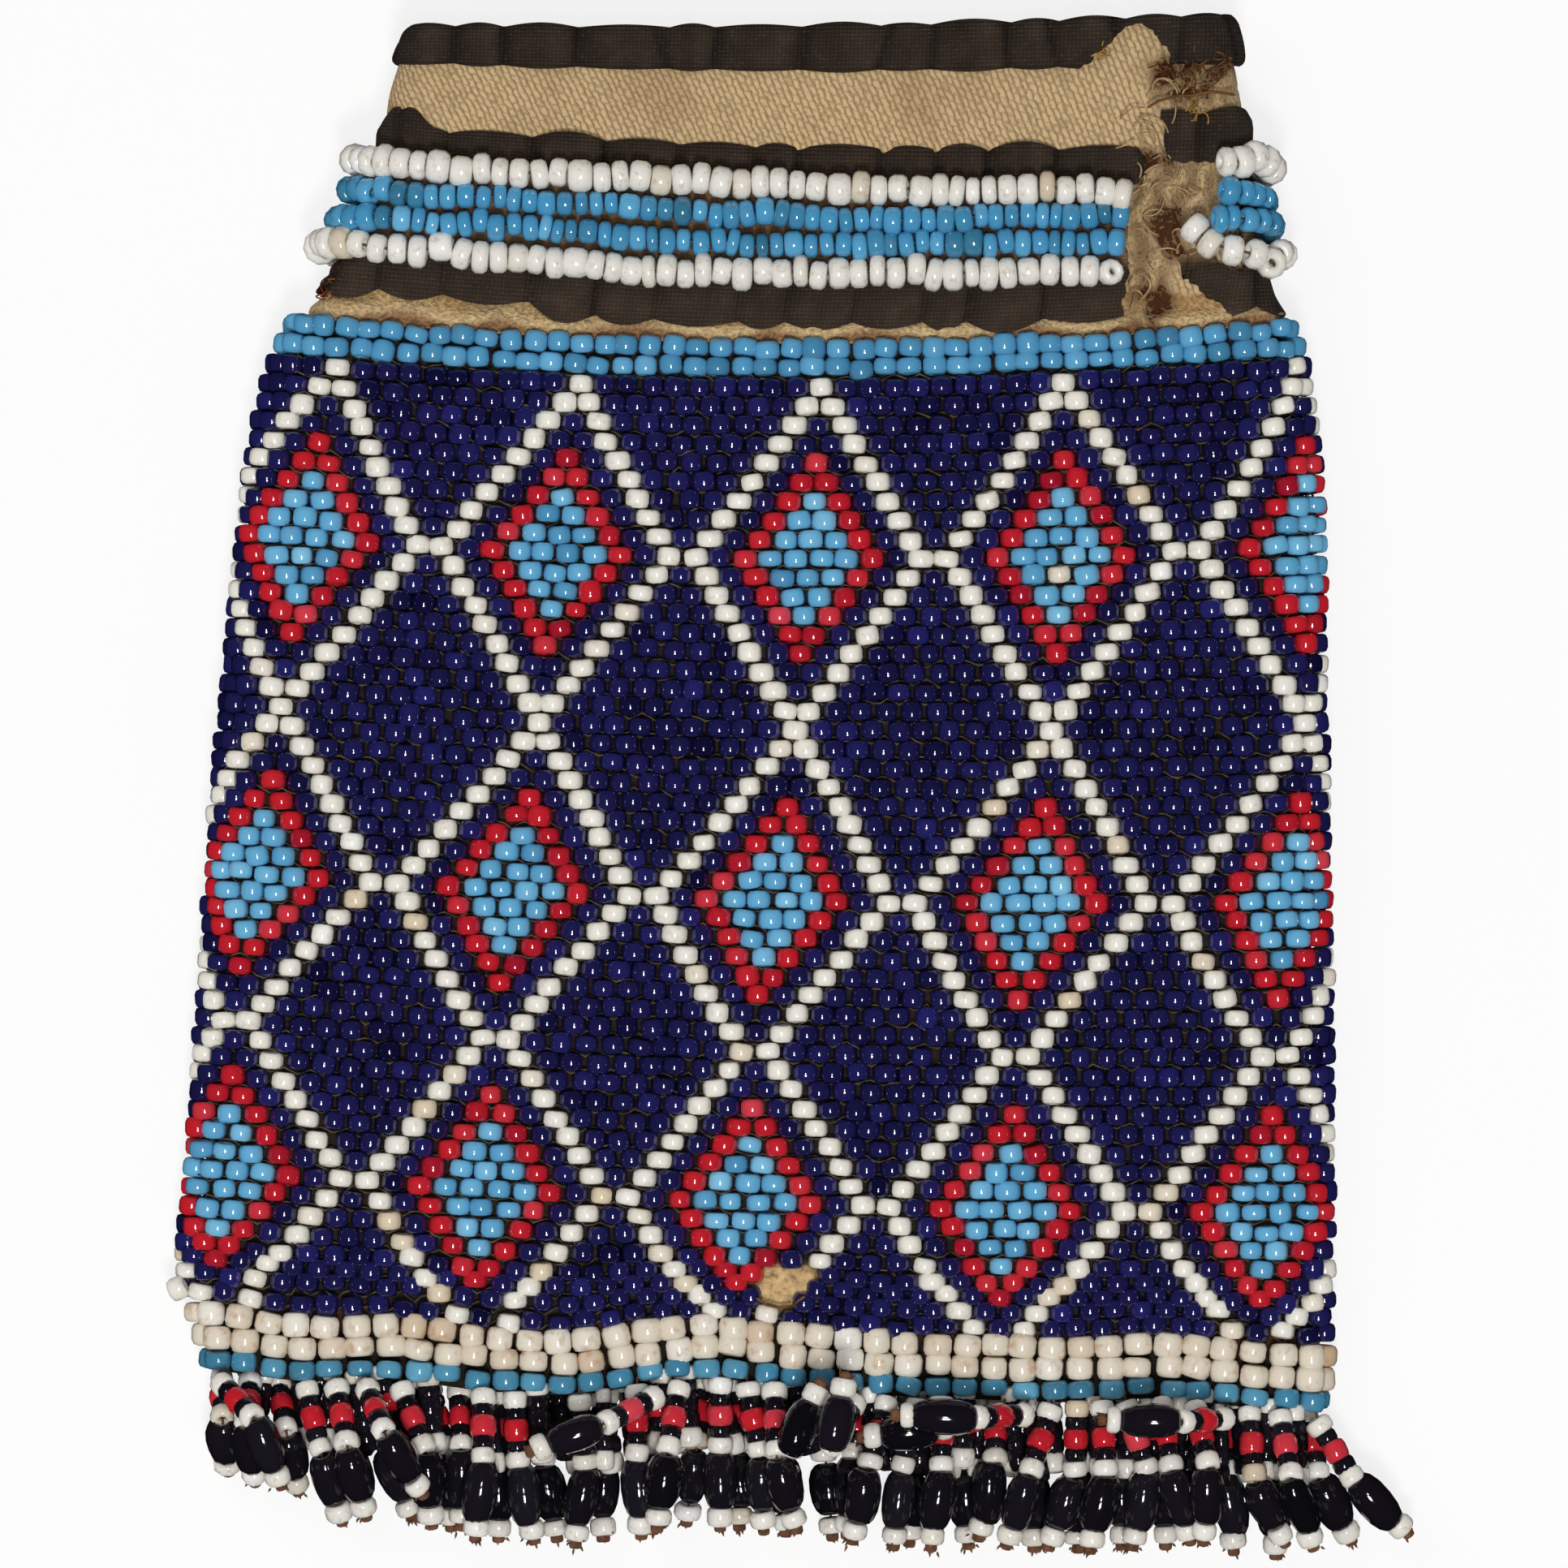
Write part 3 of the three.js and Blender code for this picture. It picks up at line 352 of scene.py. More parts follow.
def twill_material(name, colour):
    """Coarse cotton twill: short pale floats in steep columns, soiled in patches, fibrous where torn.

    Columns stand 0.7 mm apart and lean back by 0.48 mm per mm; floats repeat every 0.95 mm along a column
    and are set off by a third from one column to the next. Height is a swelling across times a shallower
    one along.
    """
    material, tree = new_material(name)
    column_pitch = 0.7
    float_pitch = 0.95
    lean = 0.48
    set_off = 0.33
    drift_size = 0.9
    drift_share = 0.9
    fibre_size = 0.45
    fibre_share = 0.8
    soil_size = 9
    uv = add_node(tree, "UVMap", {"uv_map": "cloth"})
    place = add_node(tree, "TexCoord")
    drift = add_node(
        tree, "TexNoise", values={"Scale": 1 / (drift_size * MM), "Detail": 2.0},
        links={"Vector": (place, "Object")},
    )
    parts = add_node(tree, "SeparateXYZ", links={"Vector": (uv, "UV")})
    leaning = add_node(
        tree, "Math", {"operation": "MULTIPLY"}, {1: lean / column_pitch}, {0: (parts, "Y")}
    )
    straight = add_node(
        tree, "Math", {"operation": "MULTIPLY_ADD"}, {1: 1 / column_pitch},
        {0: (parts, "X"), 2: (leaning, 0)},
    )
    bent = add_node(
        tree, "Math", {"operation": "MULTIPLY_ADD"}, {1: drift_share},
        {0: (drift, "Fac"), 2: (straight, 0)},
    )
    column = add_node(tree, "Math", {"operation": "FLOOR"}, links={0: (bent, 0)})
    across = add_node(tree, "Math", {"operation": "FRACT"}, links={0: (bent, 0)})
    offset = add_node(tree, "Math", {"operation": "MULTIPLY"}, {1: set_off}, {0: (column, 0)})
    floats = add_node(
        tree, "Math", {"operation": "MULTIPLY_ADD"}, {1: 1 / float_pitch},
        {0: (parts, "Y"), 2: (offset, 0)},
    )
    cell = add_node(tree, "Math", {"operation": "FLOOR"}, links={0: (floats, 0)})
    upward = add_node(tree, "Math", {"operation": "FRACT"}, links={0: (floats, 0)})
    crown = add_node(tree, "Math", {"operation": "PINGPONG"}, {1: 0.5}, {0: (upward, 0)})
    ridge = add_node(tree, "Math", {"operation": "PINGPONG"}, {1: 0.5}, {0: (across, 0)})
    notched = add_node(
        tree, "MapRange", {"interpolation_type": "SMOOTHSTEP"},
        {"From Min": 0.0, "From Max": 0.3, "To Min": 0.45}, {"Value": (crown, 0)},
    )
    cord = add_node(
        tree, "MapRange", {"interpolation_type": "SMOOTHSTEP"},
        {"From Min": 0.0, "From Max": 0.3}, {"Value": (ridge, 0)},
    )
    swelling = add_node(
        tree, "Math", {"operation": "MULTIPLY"}, links={0: (notched, "Result"), 1: (cord, "Result")}
    )
    cell_place = add_node(tree, "CombineXYZ", links={"X": (column, 0), "Y": (cell, 0)})
    cell_tone = add_node(tree, "TexWhiteNoise", links={"Vector": (cell_place, 0)})
    uneven = add_node(
        tree, "MapRange", values={"To Min": 0.45, "To Max": 1.0}, links={"Value": (cell_tone, "Value")}
    )
    height = add_node(
        tree, "Math", {"operation": "MULTIPLY"}, links={0: (swelling, 0), 1: (uneven, "Result")}
    )
    fibre = add_node(
        tree, "TexNoise", values={"Scale": 1 / (fibre_size * MM), "Detail": 3.0, "Roughness": 0.6},
        links={"Vector": (place, "Object")},
    )
    fray = add_node(tree, "Attribute", {"attribute_name": "fray"})
    strands = add_node(
        tree, "MapRange", values={"From Min": 0.35, "From Max": 0.62, "To Min": 0.0, "To Max": 1.0},
        links={"Value": (fibre, "Fac")},
    )
    level = add_node(
        tree, "Mix", links={0: (fray, "Fac"), 2: (height, 0), 3: (strands, "Result")}
    )
    rough_level = add_node(
        tree, "Math", {"operation": "MULTIPLY_ADD"}, {1: fibre_share},
        {0: (fibre, "Fac"), 2: (level, 0)},
    )
    thread = add_node(
        tree, "ValToRGB", links={"Fac": (rough_level, 0)},
        stops=[(0.28, shade(colour, 0.5)), (0.75, shade(colour, 0.87)), (1, shade(colour, 1.2))],
    )
    soil = add_node(
        tree, "TexNoise", values={"Scale": 1 / (soil_size * MM), "Detail": 4.0},
        links={"Vector": (place, "Object")},
    )
    patch = add_node(
        tree, "MapRange", {"interpolation_type": "SMOOTHSTEP"},
        {"From Min": 0.45, "From Max": 0.75, "To Max": 0.3}, {"Value": (soil, "Fac")},
    )
    soiled = add_node(
        tree, "Mix", {"data_type": "RGBA"}, {7: rgba(linear("#7d5f3a"))},
        {0: (patch, "Result"), 6: (thread, "Color")},
    )
    # The rolled lip's tones from top to foot: orange-brown cloth darkened by the band's painted shadow, tan,
    # a pale ridge that is partly cream cloth and partly a painted highlight on the roll, and a dark brown
    # foot
    lip = add_node(tree, "Attribute", {"attribute_name": "lip"})
    lip_shadow_and_tones = [(0.1, "#96683a"), (0.45, "#c39c66"), (0.8, "#d8bb8a"), (0.97, "#8a5a38")]
    rolled = add_node(
        tree, "ValToRGB", links={"Fac": (lip, "Fac")},
        stops=[(at, linear(hex_code)) for at, hex_code in lip_shadow_and_tones],
    )
    on_lip = add_node(
        tree, "MapRange", {"interpolation_type": "SMOOTHSTEP"},
        {"From Min": 0.02, "From Max": 0.2, "To Max": 0.75}, {"Value": (lip, "Fac")},
    )
    fibres = add_node(
        tree, "MapRange", values={"From Min": 0.35, "From Max": 0.65, "To Min": 0.62, "To Max": 1.2},
        links={"Value": (fibre, "Fac")},
    )
    roll = add_node(
        tree, "Mix", {"data_type": "RGBA", "blend_type": "MULTIPLY"}, {0: 1.0},
        {6: (rolled, "Color"), 7: (fibres, "Result")},
    )
    edged = add_node(
        tree, "Mix", {"data_type": "RGBA"}, links={0: (on_lip, "Result"), 6: (soiled, 2), 7: (roll, 2)}
    )
    # Real stains and painted shade share one attribute: shade is painted in the hollows between frayed
    # ridges and on the canvas behind the hem, where its highest values turn it nearly black
    stain = add_node(tree, "Attribute", {"attribute_name": "stain"})
    blotch_and_shade = add_node(
        tree, "Math", {"operation": "MULTIPLY", "use_clamp": True},
        links={0: (stain, "Fac"), 1: (rough_level, 0)},
    )
    stained = add_node(
        tree, "Mix", {"data_type": "RGBA"}, {7: rgba(linear("#4a2c18"))},
        {0: (blotch_and_shade, 0), 6: (edged, 2)},
    )
    heavy = add_node(
        tree, "MapRange", values={"From Min": 2.4, "From Max": 3.0}, links={"Value": (stain, "Fac")}
    )
    darkest_stain_and_shade = add_node(
        tree, "Mix", {"data_type": "RGBA"}, {7: rgba(linear("#241c15"))},
        {0: (heavy, "Result"), 6: (stained, 2)},
    )
    bump = add_node(
        tree, "Bump", values={"Strength": 0.6, "Distance": 0.3 * MM}, links={"Height": (rough_level, 0)}
    )
    finish_material(tree, (darkest_stain_and_shade, 2), {"Roughness": 0.92, "Specular IOR Level": 0.2}, bump)
    return material


def dark_cotton_material(name, colour):
    """Dark brown plain-weave cotton: fine dotted weave, painted shade in creases, and threads worn to golden
    brown that also carry painted glints.

    The real threads lie 0.25 mm apart, and are drawn 0.42 mm apart so that they show. An attribute of
    painted light is 0.5 on plain cloth, lower where shade is painted in a crease and higher where a
    highlight is painted on the crown of a fold; worn is where brown fibre shows. The cloth map is in
    millimetres: worn patches are about 3 mm across, glints 0.3 mm and drawn out.
    """
    material, tree = new_material(name)
    thread_pitch = 0.42
    weft_share = 0.8
    uv = add_node(tree, "UVMap", {"uv_map": "cloth"})
    parts = add_node(tree, "SeparateXYZ", links={"Vector": (uv, "UV")})
    squeezed = add_node(tree, "Mapping", values={"Scale": (0.5, 1.6, 1)}, links={"Vector": (uv, "UV")})
    wear = add_node(
        tree, "TexNoise", values={"Scale": 0.35, "Detail": 3.0}, links={"Vector": (uv, "UV")}
    )
    glint = add_node(
        tree, "TexNoise", values={"Scale": 3.2, "Detail": 2.0, "Roughness": 0.7},
        links={"Vector": (squeezed, 0)},
    )
    along_warp = add_node(
        tree, "Math", {"operation": "MULTIPLY"}, {1: TURN / thread_pitch}, {0: (parts, "Y")}
    )
    along_weft = add_node(
        tree, "Math", {"operation": "MULTIPLY"}, {1: TURN / thread_pitch}, {0: (parts, "X")}
    )
    warp = add_node(tree, "Math", {"operation": "SINE"}, links={0: (along_warp, 0)})
    weft = add_node(tree, "Math", {"operation": "SINE"}, links={0: (along_weft, 0)})
    part_weft = add_node(tree, "Math", {"operation": "MULTIPLY"}, {1: weft_share}, {0: (weft, 0)})
    weave = add_node(tree, "Math", {"operation": "ADD"}, links={0: (warp, 0), 1: (part_weft, 0)})
    body = add_node(
        tree, "ValToRGB", links={"Fac": (wear, "Fac")},
        stops=[(0.3, shade(colour, 0.75)), (0.55, colour), (0.75, shade(colour, 1.45))],
    )
    lines = add_node(
        tree, "MapRange", values={"From Min": -1.8, "From Max": 1.8, "To Min": 0.8, "To Max": 1.22},
        links={"Value": (weave, 0)},
    )
    shaded = add_node(
        tree, "Mix", {"data_type": "RGBA", "blend_type": "MULTIPLY"}, {0: 1.0},
        {6: (body, "Color"), 7: (lines, "Result")},
    )
    # Painted light on the folds: shade painted into creases and at their feet, a highlight painted on their
    # crowns
    sheen = add_node(tree, "Attribute", {"attribute_name": "sheen"})
    fold_shading = add_node(
        tree, "MapRange", values={"To Min": 0.35, "To Max": 1.75}, links={"Value": (sheen, "Fac")}
    )
    folded = add_node(
        tree, "Mix", {"data_type": "RGBA", "blend_type": "MULTIPLY"}, {0: 1.0},
        {6: (shaded, 2), 7: (fold_shading, "Result")},
    )
    worn = add_node(tree, "Attribute", {"attribute_name": "worn"})
    fibrous = add_node(
        tree, "Mix", {"data_type": "RGBA"}, {7: rgba(linear("#8d6c4c"))},
        {0: (worn, "Fac"), 6: (folded, 2)},
    )
    # Golden flecks where the weave is brightest: partly golden-brown thread, partly painted glints
    bright = add_node(
        tree, "Math", {"operation": "MULTIPLY"}, links={0: (glint, "Fac"), 1: (lines, "Result")}
    )
    golden = add_node(
        tree, "MapRange", {"interpolation_type": "SMOOTHSTEP"},
        {"From Min": 0.56, "From Max": 0.8, "To Max": 0.25}, {"Value": (bright, 0)},
    )
    golden_threads_and_glints = add_node(
        tree, "Mix", {"data_type": "RGBA"}, {7: rgba(linear("#7d6138"))},
        {0: (golden, "Result"), 6: (fibrous, 2)},
    )
    bump = add_node(
        tree, "Bump", values={"Strength": 0.45, "Distance": 0.12 * MM}, links={"Height": (weave, 0)}
    )
    finish_material(tree, (golden_threads_and_glints, 2), {"Roughness": 0.85, "Specular IOR Level": 0.25}, bump)
    return material


def thread_material(name, colour):
    """Spun cotton thread: uneven dye and matt fibres, so its tone drifts along its length."""
    material, tree = new_material(name)
    place = add_node(tree, "TexCoord")
    noise = add_node(
        tree, "TexNoise", values={"Scale": 1 / (1.2 * MM), "Detail": 3.0},
        links={"Vector": (place, "Object")},
    )
    body = add_node(
        tree, "ValToRGB", links={"Fac": (noise, "Fac")},
        stops=[(0.25, shade(colour, 0.5)), (0.55, colour), (0.8, shade(colour, 1.6))],
    )
    bump = add_node(
        tree, "Bump", values={"Strength": 0.4, "Distance": 0.1 * MM}, links={"Height": (noise, "Fac")}
    )
    finish_material(tree, (body, "Color"), {"Roughness": 0.9, "Specular IOR Level": 0.2}, bump)
    return material


def backing_material(name, colour, bare_colour):
    """Cotton under the beads: brown with soil where beads cover it, tan and rough where they are lost."""
    material, tree = new_material(name)
    place = add_node(tree, "TexCoord")
    noise = add_node(
        tree, "TexNoise", values={"Scale": 1 / (0.8 * MM), "Detail": 4.0, "Roughness": 0.65},
        links={"Vector": (place, "Object")},
    )
    covered = add_node(
        tree, "ValToRGB", links={"Fac": (noise, "Fac")},
        stops=[(0.3, shade(colour, 0.4)), (0.6, colour), (0.8, shade(colour, 1.7))],
    )
    clean = add_node(
        tree, "ValToRGB", links={"Fac": (noise, "Fac")},
        stops=[(0.3, shade(bare_colour, 0.35)), (0.5, bare_colour), (0.7, shade(bare_colour, 1.3))],
    )
    bare = add_node(tree, "Attribute", {"attribute_name": "bare"})
    mixed = add_node(
        tree, "Mix", {"data_type": "RGBA"},
        links={0: (bare, "Fac"), 6: (covered, "Color"), 7: (clean, "Color")},
    )
    bump = add_node(
        tree, "Bump", values={"Strength": 0.8, "Distance": 0.4 * MM}, links={"Height": (noise, "Fac")}
    )
    finish_material(tree, (mixed, 2), {"Roughness": 0.92, "Specular IOR Level": 0.2}, bump)
    return material


def build_mesh(name, points, faces, material, maps=None, numbers=None):
    """A smooth mesh object from points in millimetres, four-cornered faces, maps and point attributes."""
    mesh = bpy.data.meshes.new(name)
    faces = np.asarray(faces, np.int32)
    mesh.vertices.add(len(points))
    mesh.vertices.foreach_set("co", (np.asarray(points) * MM).astype(np.float32).ravel())
    mesh.loops.add(faces.size)
    mesh.loops.foreach_set("vertex_index", faces.ravel())
    mesh.polygons.add(len(faces))
    mesh.polygons.foreach_set("loop_start", np.arange(0, faces.size, 4, dtype=np.int32))
    mesh.polygons.foreach_set("loop_total", np.full(len(faces), 4, np.int32))
    mesh.polygons.foreach_set("use_smooth", np.ones(len(faces), bool))
    for label, values in (maps or {}).items():
        mesh.uv_layers.new(name=label).data.foreach_set("uv", np.asarray(values, np.float32).ravel())
    for label, values in (numbers or {}).items():
        attribute = mesh.attributes.new(label, "FLOAT", "POINT")
        attribute.data.foreach_set("value", np.asarray(values, np.float32).ravel())
    mesh.update(calc_edges=True)
    mesh.validate()
    piece = bpy.data.objects.new(name, mesh)
    bpy.context.scene.collection.objects.link(piece)
    mesh.materials.append(material)
    return piece


def dress(piece, slot_name, *nodes):
    """The piece rides on the bag's only body and stands for CAD nodes; its slot name is not used."""
    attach(piece, "root")
    if nodes:
        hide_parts(*nodes)
    return piece


def grid_faces(rows, columns, closed):
    """Four-cornered faces of a grid, whose columns may join round."""
    steps = columns if closed else columns - 1
    i, j = np.meshgrid(np.arange(rows - 1), np.arange(steps), indexing="ij")
    k = (j + 1) % columns
    near, far = i * columns, (i + 1) * columns
    return np.stack([near + j, near + k, far + k, far + j], -1).reshape(-1, 4)


# Outlines turned round a bead's hole, as shares of its length and radius: ends, belly, wall of the hole
ROUND_OUTLINE = (
    np.array([-0.36, -0.5, -0.43, -0.22, 0.22, 0.43, 0.5, 0.36]),
    np.array([0.3, 0.58, 0.85, 0.985, 0.985, 0.85, 0.58, 0.3]),
)
CUSHION_OUTLINE = (
    np.array([-0.35, -0.5, -0.42, -0.22, 0.22, 0.42, 0.5, 0.35]),
    np.array([0.3, 0.54, 0.82, 0.98, 0.98, 0.82, 0.54, 0.3]),
)
BARREL_OUTLINE = (
    np.array([-0.4, -0.5, -0.44, -0.24, 0.24, 0.44, 0.5, 0.4]),
    np.array([0.3, 0.57, 0.83, 0.98, 0.98, 0.83, 0.57, 0.3]),
)
PLAIN_OUTLINE = (np.array([-0.5, -0.2, 0.2, 0.5, 0.0]), np.array([0.62, 0.98, 0.98, 0.62, 0.3]))
LONG_OUTLINE = (
    np.array([-0.5, -0.47, -0.38, -0.22, 0.0, 0.22, 0.38, 0.47, 0.5, 0.0]),
    np.array([0.42, 0.6, 0.82, 0.97, 1.0, 0.93, 0.77, 0.56, 0.36, 0.2]),
)
# Spread of lengths and radii as shares of how loose the beads are, spread of their tones, and margin of a
# bead's square in the map
LENGTH_SPREAD = 0.9
RADIUS_SPREAD = 0.6
TONE_SPREAD = 0.2
MAP_MARGIN = 0.05
# How loosely beads sit: spread of their hole directions, by group
LOOSE = {"sleeve": 0.07, "header": 0.08, "hem": 0.07, "strings": 0.06, "fringe": 0.07}


def beads(
    name, centres, axes, outs, lengths, diameters, material, seed,
    outline=ROUND_OUTLINE, sides=10, loose=0.05, tone_shift=0.0,
):
    """Beads as one mesh: an outline is turned round each bead's hole direction.

    A point is the centre, plus the hole direction times the outline's place and the bead's length, plus the
    outline's distance times the radius along a turning direction. Every bead gets a little random turn,
    size and tone, and its own square in a map.
    """
    random = np.random.default_rng(seed)
    place, out = outline
    count, rings = len(centres), len(place)
    axes = unit(axes + random.normal(0, loose, (count, 3)))
    first = unit(outs - axes * np.sum(outs * axes, axis=1, keepdims=True))
    second = np.cross(axes, first)
    lengths = np.broadcast_to(lengths, count) * random.normal(1, LENGTH_SPREAD * loose, count)
    radii = np.broadcast_to(diameters, count) / 2 * random.normal(1, RADIUS_SPREAD * loose, count)
    angle = TURN * (np.arange(sides)[None, :] / sides + random.random(count)[:, None])
    around = np.cos(angle)[..., None] * first[:, None, :] + np.sin(angle)[..., None] * second[:, None, :]
    shift = (place[None, :] * lengths[:, None])[..., None] * axes[:, None, :]
    swell = (out[None, :] * radii[:, None])[:, :, None, None] * around[:, None, :, :]
    points = centres[:, None, None, :] + shift[:, :, None, :] + swell
    i, j = np.meshgrid(np.arange(rings), np.arange(sides), indexing="ij")
    i, j = i.ravel(), j.ravel()
    near, far = (i + 1) % rings, (j + 1) % sides
    quad = np.stack([i * sides + j, i * sides + far, near * sides + far, near * sides + j], -1)
    faces = (quad[None] + (np.arange(count) * rings * sides)[:, None, None]).reshape(-1, 4)
    across = np.stack([j, j + 1, j + 1, j], -1) / sides
    upward = np.stack([i, i, i + 1, i + 1], -1) / rings
    local = np.stack([across, upward], -1)
    cells = int(np.ceil(np.sqrt(count)))
    corner = np.stack([np.arange(count) % cells, np.arange(count) // cells], -1)
    squares = (corner[:, None, None, :] + MAP_MARGIN + (1 - 2 * MAP_MARGIN) * local[None]) / cells
    tone = np.repeat(np.clip(random.normal(0.5, TONE_SPREAD, count) + tone_shift, 0, 1), rings * sides)
    return build_mesh(
        name, points.reshape(-1, 3), faces, material, {"OFBake": squares.reshape(-1, 2)}, {"tone": tone}
    )


# A direction that no thread follows, and the share of its radius that a thread keeps at its ends
SECTION_UP = [0.13, 0.21, 0.97]
THREAD_TIP = 0.05


def tubes(name, paths, radius, material, sides=5):
    """Threads as one mesh: a round section carried along each path, all with the same number of points.

    The section stands square to the path's direction; its ends taper to close.
    """
    paths = np.asarray(paths)
    count, steps = paths.shape[:2]
    forward = unit(np.gradient(paths, axis=1))
    upward = np.broadcast_to(np.array(SECTION_UP), forward.shape)
    first = unit(np.cross(forward, upward))
    second = np.cross(forward, first)
    angle = TURN * np.arange(sides) / sides
    taper = np.ones(steps)
    taper[[0, -1]] = THREAD_TIP
    sideways = np.cos(angle)[None, None, :, None] * first[:, :, None, :]
    ring = sideways + np.sin(angle)[None, None, :, None] * second[:, :, None, :]
    points = paths[:, :, None, :] + radius * taper[None, :, None, None] * ring
    faces = grid_faces(steps, sides, True)[:, ::-1]
    faces = (faces[None] + (np.arange(count) * steps * sides)[:, None, None]).reshape(-1, 4)
    return build_mesh(name, points.reshape(-1, 3), faces, material)


def along_route(points, number):
    """A number of points spread along straight lines between given ones."""
    at = np.linspace(0, len(points) - 1, number)
    return np.stack([np.interp(at, np.arange(len(points)), part) for part in np.transpose(points)], -1)


# Rows of the sleeve, beads round it, spacing of the rows in millimetres, and row after which they crowd
ROWS = 51
BEADS_AROUND = 90
ROW_PITCH = 1.983
CROWDED_ROW = 46
# How far the middle of a sleeve bead stands off the pouch
BEAD_LINE = 1.525
# The lattice: rows and beads after which it repeats, row from which the last, short repeat counts and from
# where, beads between white line and red line, and the one odd white bead by row and count
REPEAT = 18
LATTICE_WIDTH = 10
SHORT_FROM = 36
SHORT_SHIFT = 34
RED_INSET = 2
ODD_ROW = 10
ODD_COUNT = 10


def row_height(row):
    """Place of a row along the bag; the last four rows are crowded together above the hem."""
    even = FIELD_TOP - ROW_PITCH * (np.minimum(row, CROWDED_ROW) + 0.5)
    crowd = (even + ROW_PITCH / 2 - ROW_PITCH - FIELD_BOTTOM) / (ROWS - 1 - CROWDED_ROW)
    left = np.maximum(row - CROWDED_ROW, 0)
    return np.where(left > 0, even - ROW_PITCH / 2 - crowd * (left - 0.5), even)


def upright_beads(y, run, line, proud):
    """Centres, hole directions and outward directions of beads whose holes run along the bag.

    The hole stands square to the row, which runs through the points just left and right.
    """
    reach = 0.5
    centres, outs = surface(y, run, line, proud)
    right, _ = surface(y, run + reach, line, proud)
    left, _ = surface(y, run - reach, line, proud)
    return centres, unit(np.cross(outs, right - left)), outs


def field_places():
    """Every bead of the sleeve: row, count of beads from the middle, place along and round the bag."""
    row, count = np.meshgrid(np.arange(ROWS), np.arange(BEADS_AROUND) - BEADS_AROUND // 2, indexing="ij")
    row, count = row.ravel(), count.ravel() + 0.5 * (row.ravel() % 2)
    y = row_height(row)
    run = along("twist", y) + count * girth(y, BEAD_LINE) / BEADS_AROUND
    return row, count, y, run


def field_colours(row, count):
    """The lattice: white lines swing out by half a bead a row and back, red stands inside, sky inside that.

    0 is navy, 1 white, 2 red and 3 sky.
    """
    step = np.where(row < SHORT_FROM, row % REPEAT, row - SHORT_SHIFT)
    swing = np.minimum(step, REPEAT - step) / 2
    across = np.abs((count + LATTICE_WIDTH / 2) % LATTICE_WIDTH - LATTICE_WIDTH / 2)
    kind = np.zeros(len(row), int)
    kind[np.isclose(across, swing)] = 1
    inside = swing >= RED_INSET
    kind[inside & np.isclose(across, swing - RED_INSET)] = 2
    kind[inside & (across < swing - RED_INSET - 0.25)] = 3
    kind[(row == ODD_ROW) & np.isclose(count, ODD_COUNT)] = 1
    return kind


# The patch where beads are lost and cloth shows, in millimetres: middle, half size, width of its soft edge,
# and height above the table from which a point is on the front; and bareness at its middle before it is cut
BARE_MIDDLE = np.array([0.3, -52.6])
BARE_HALF = np.array([2.7, 1.8])
BARE_EDGE = 0.4
BARE_ABOVE = 5
BARE_FULL = 1.6


def in_bare_patch(points):
    """Whether points lie in the patch's rectangle on the front."""
    off = np.abs(points[:, :2] - BARE_MIDDLE) / BARE_HALF
    return (off.max(axis=1) < 1) & (points[:, 2] > BARE_ABOVE)


def bareness(points):
    """1 where the front's cloth is bare, falling to 0 round it by the fourth power of the distance."""
    off = (points[..., :2] - BARE_MIDDLE) / (BARE_HALF + BARE_EDGE)
    return np.clip(BARE_FULL - np.sum(off**4, axis=-1), 0, 1) * (points[..., 2] > BARE_ABOVE)


# White bead that sticks out at the sleeve's lower left corner: middle in millimetres, and hole direction
CORNER_BEAD = np.array([[-63.7, -53.0, 6.2]])
CORNER_AXIS = np.array([[0.9, 0.35, 0.1]])
FACING_UP = np.array([[0.0, 0.0, 1.0]])
# How far beads stray from their places in millimetres: sideways and outwards, along the bag, and there in
# crowded rows
FIELD_STRAY = 0.09
EVEN_STRAY = 0.07
CROWDED_STRAY = 0.16
# Share of its length that a bead keeps in a crowded row
CROWDED_LENGTH = 0.98
# The last row has slipped down over the hem
LAST_ROW_DROP = 0.25
# Rows below this one are stained by handling, more the lower they are, down to a darker tone
STAINED_FROM = 30
STAINED_TONE = -0.2
# Beads whose outward direction rises less than this are on the back, and have fewer sides
BACK_BELOW = -0.3
FRONT_SIDES = 8
BACK_SIDES = 7


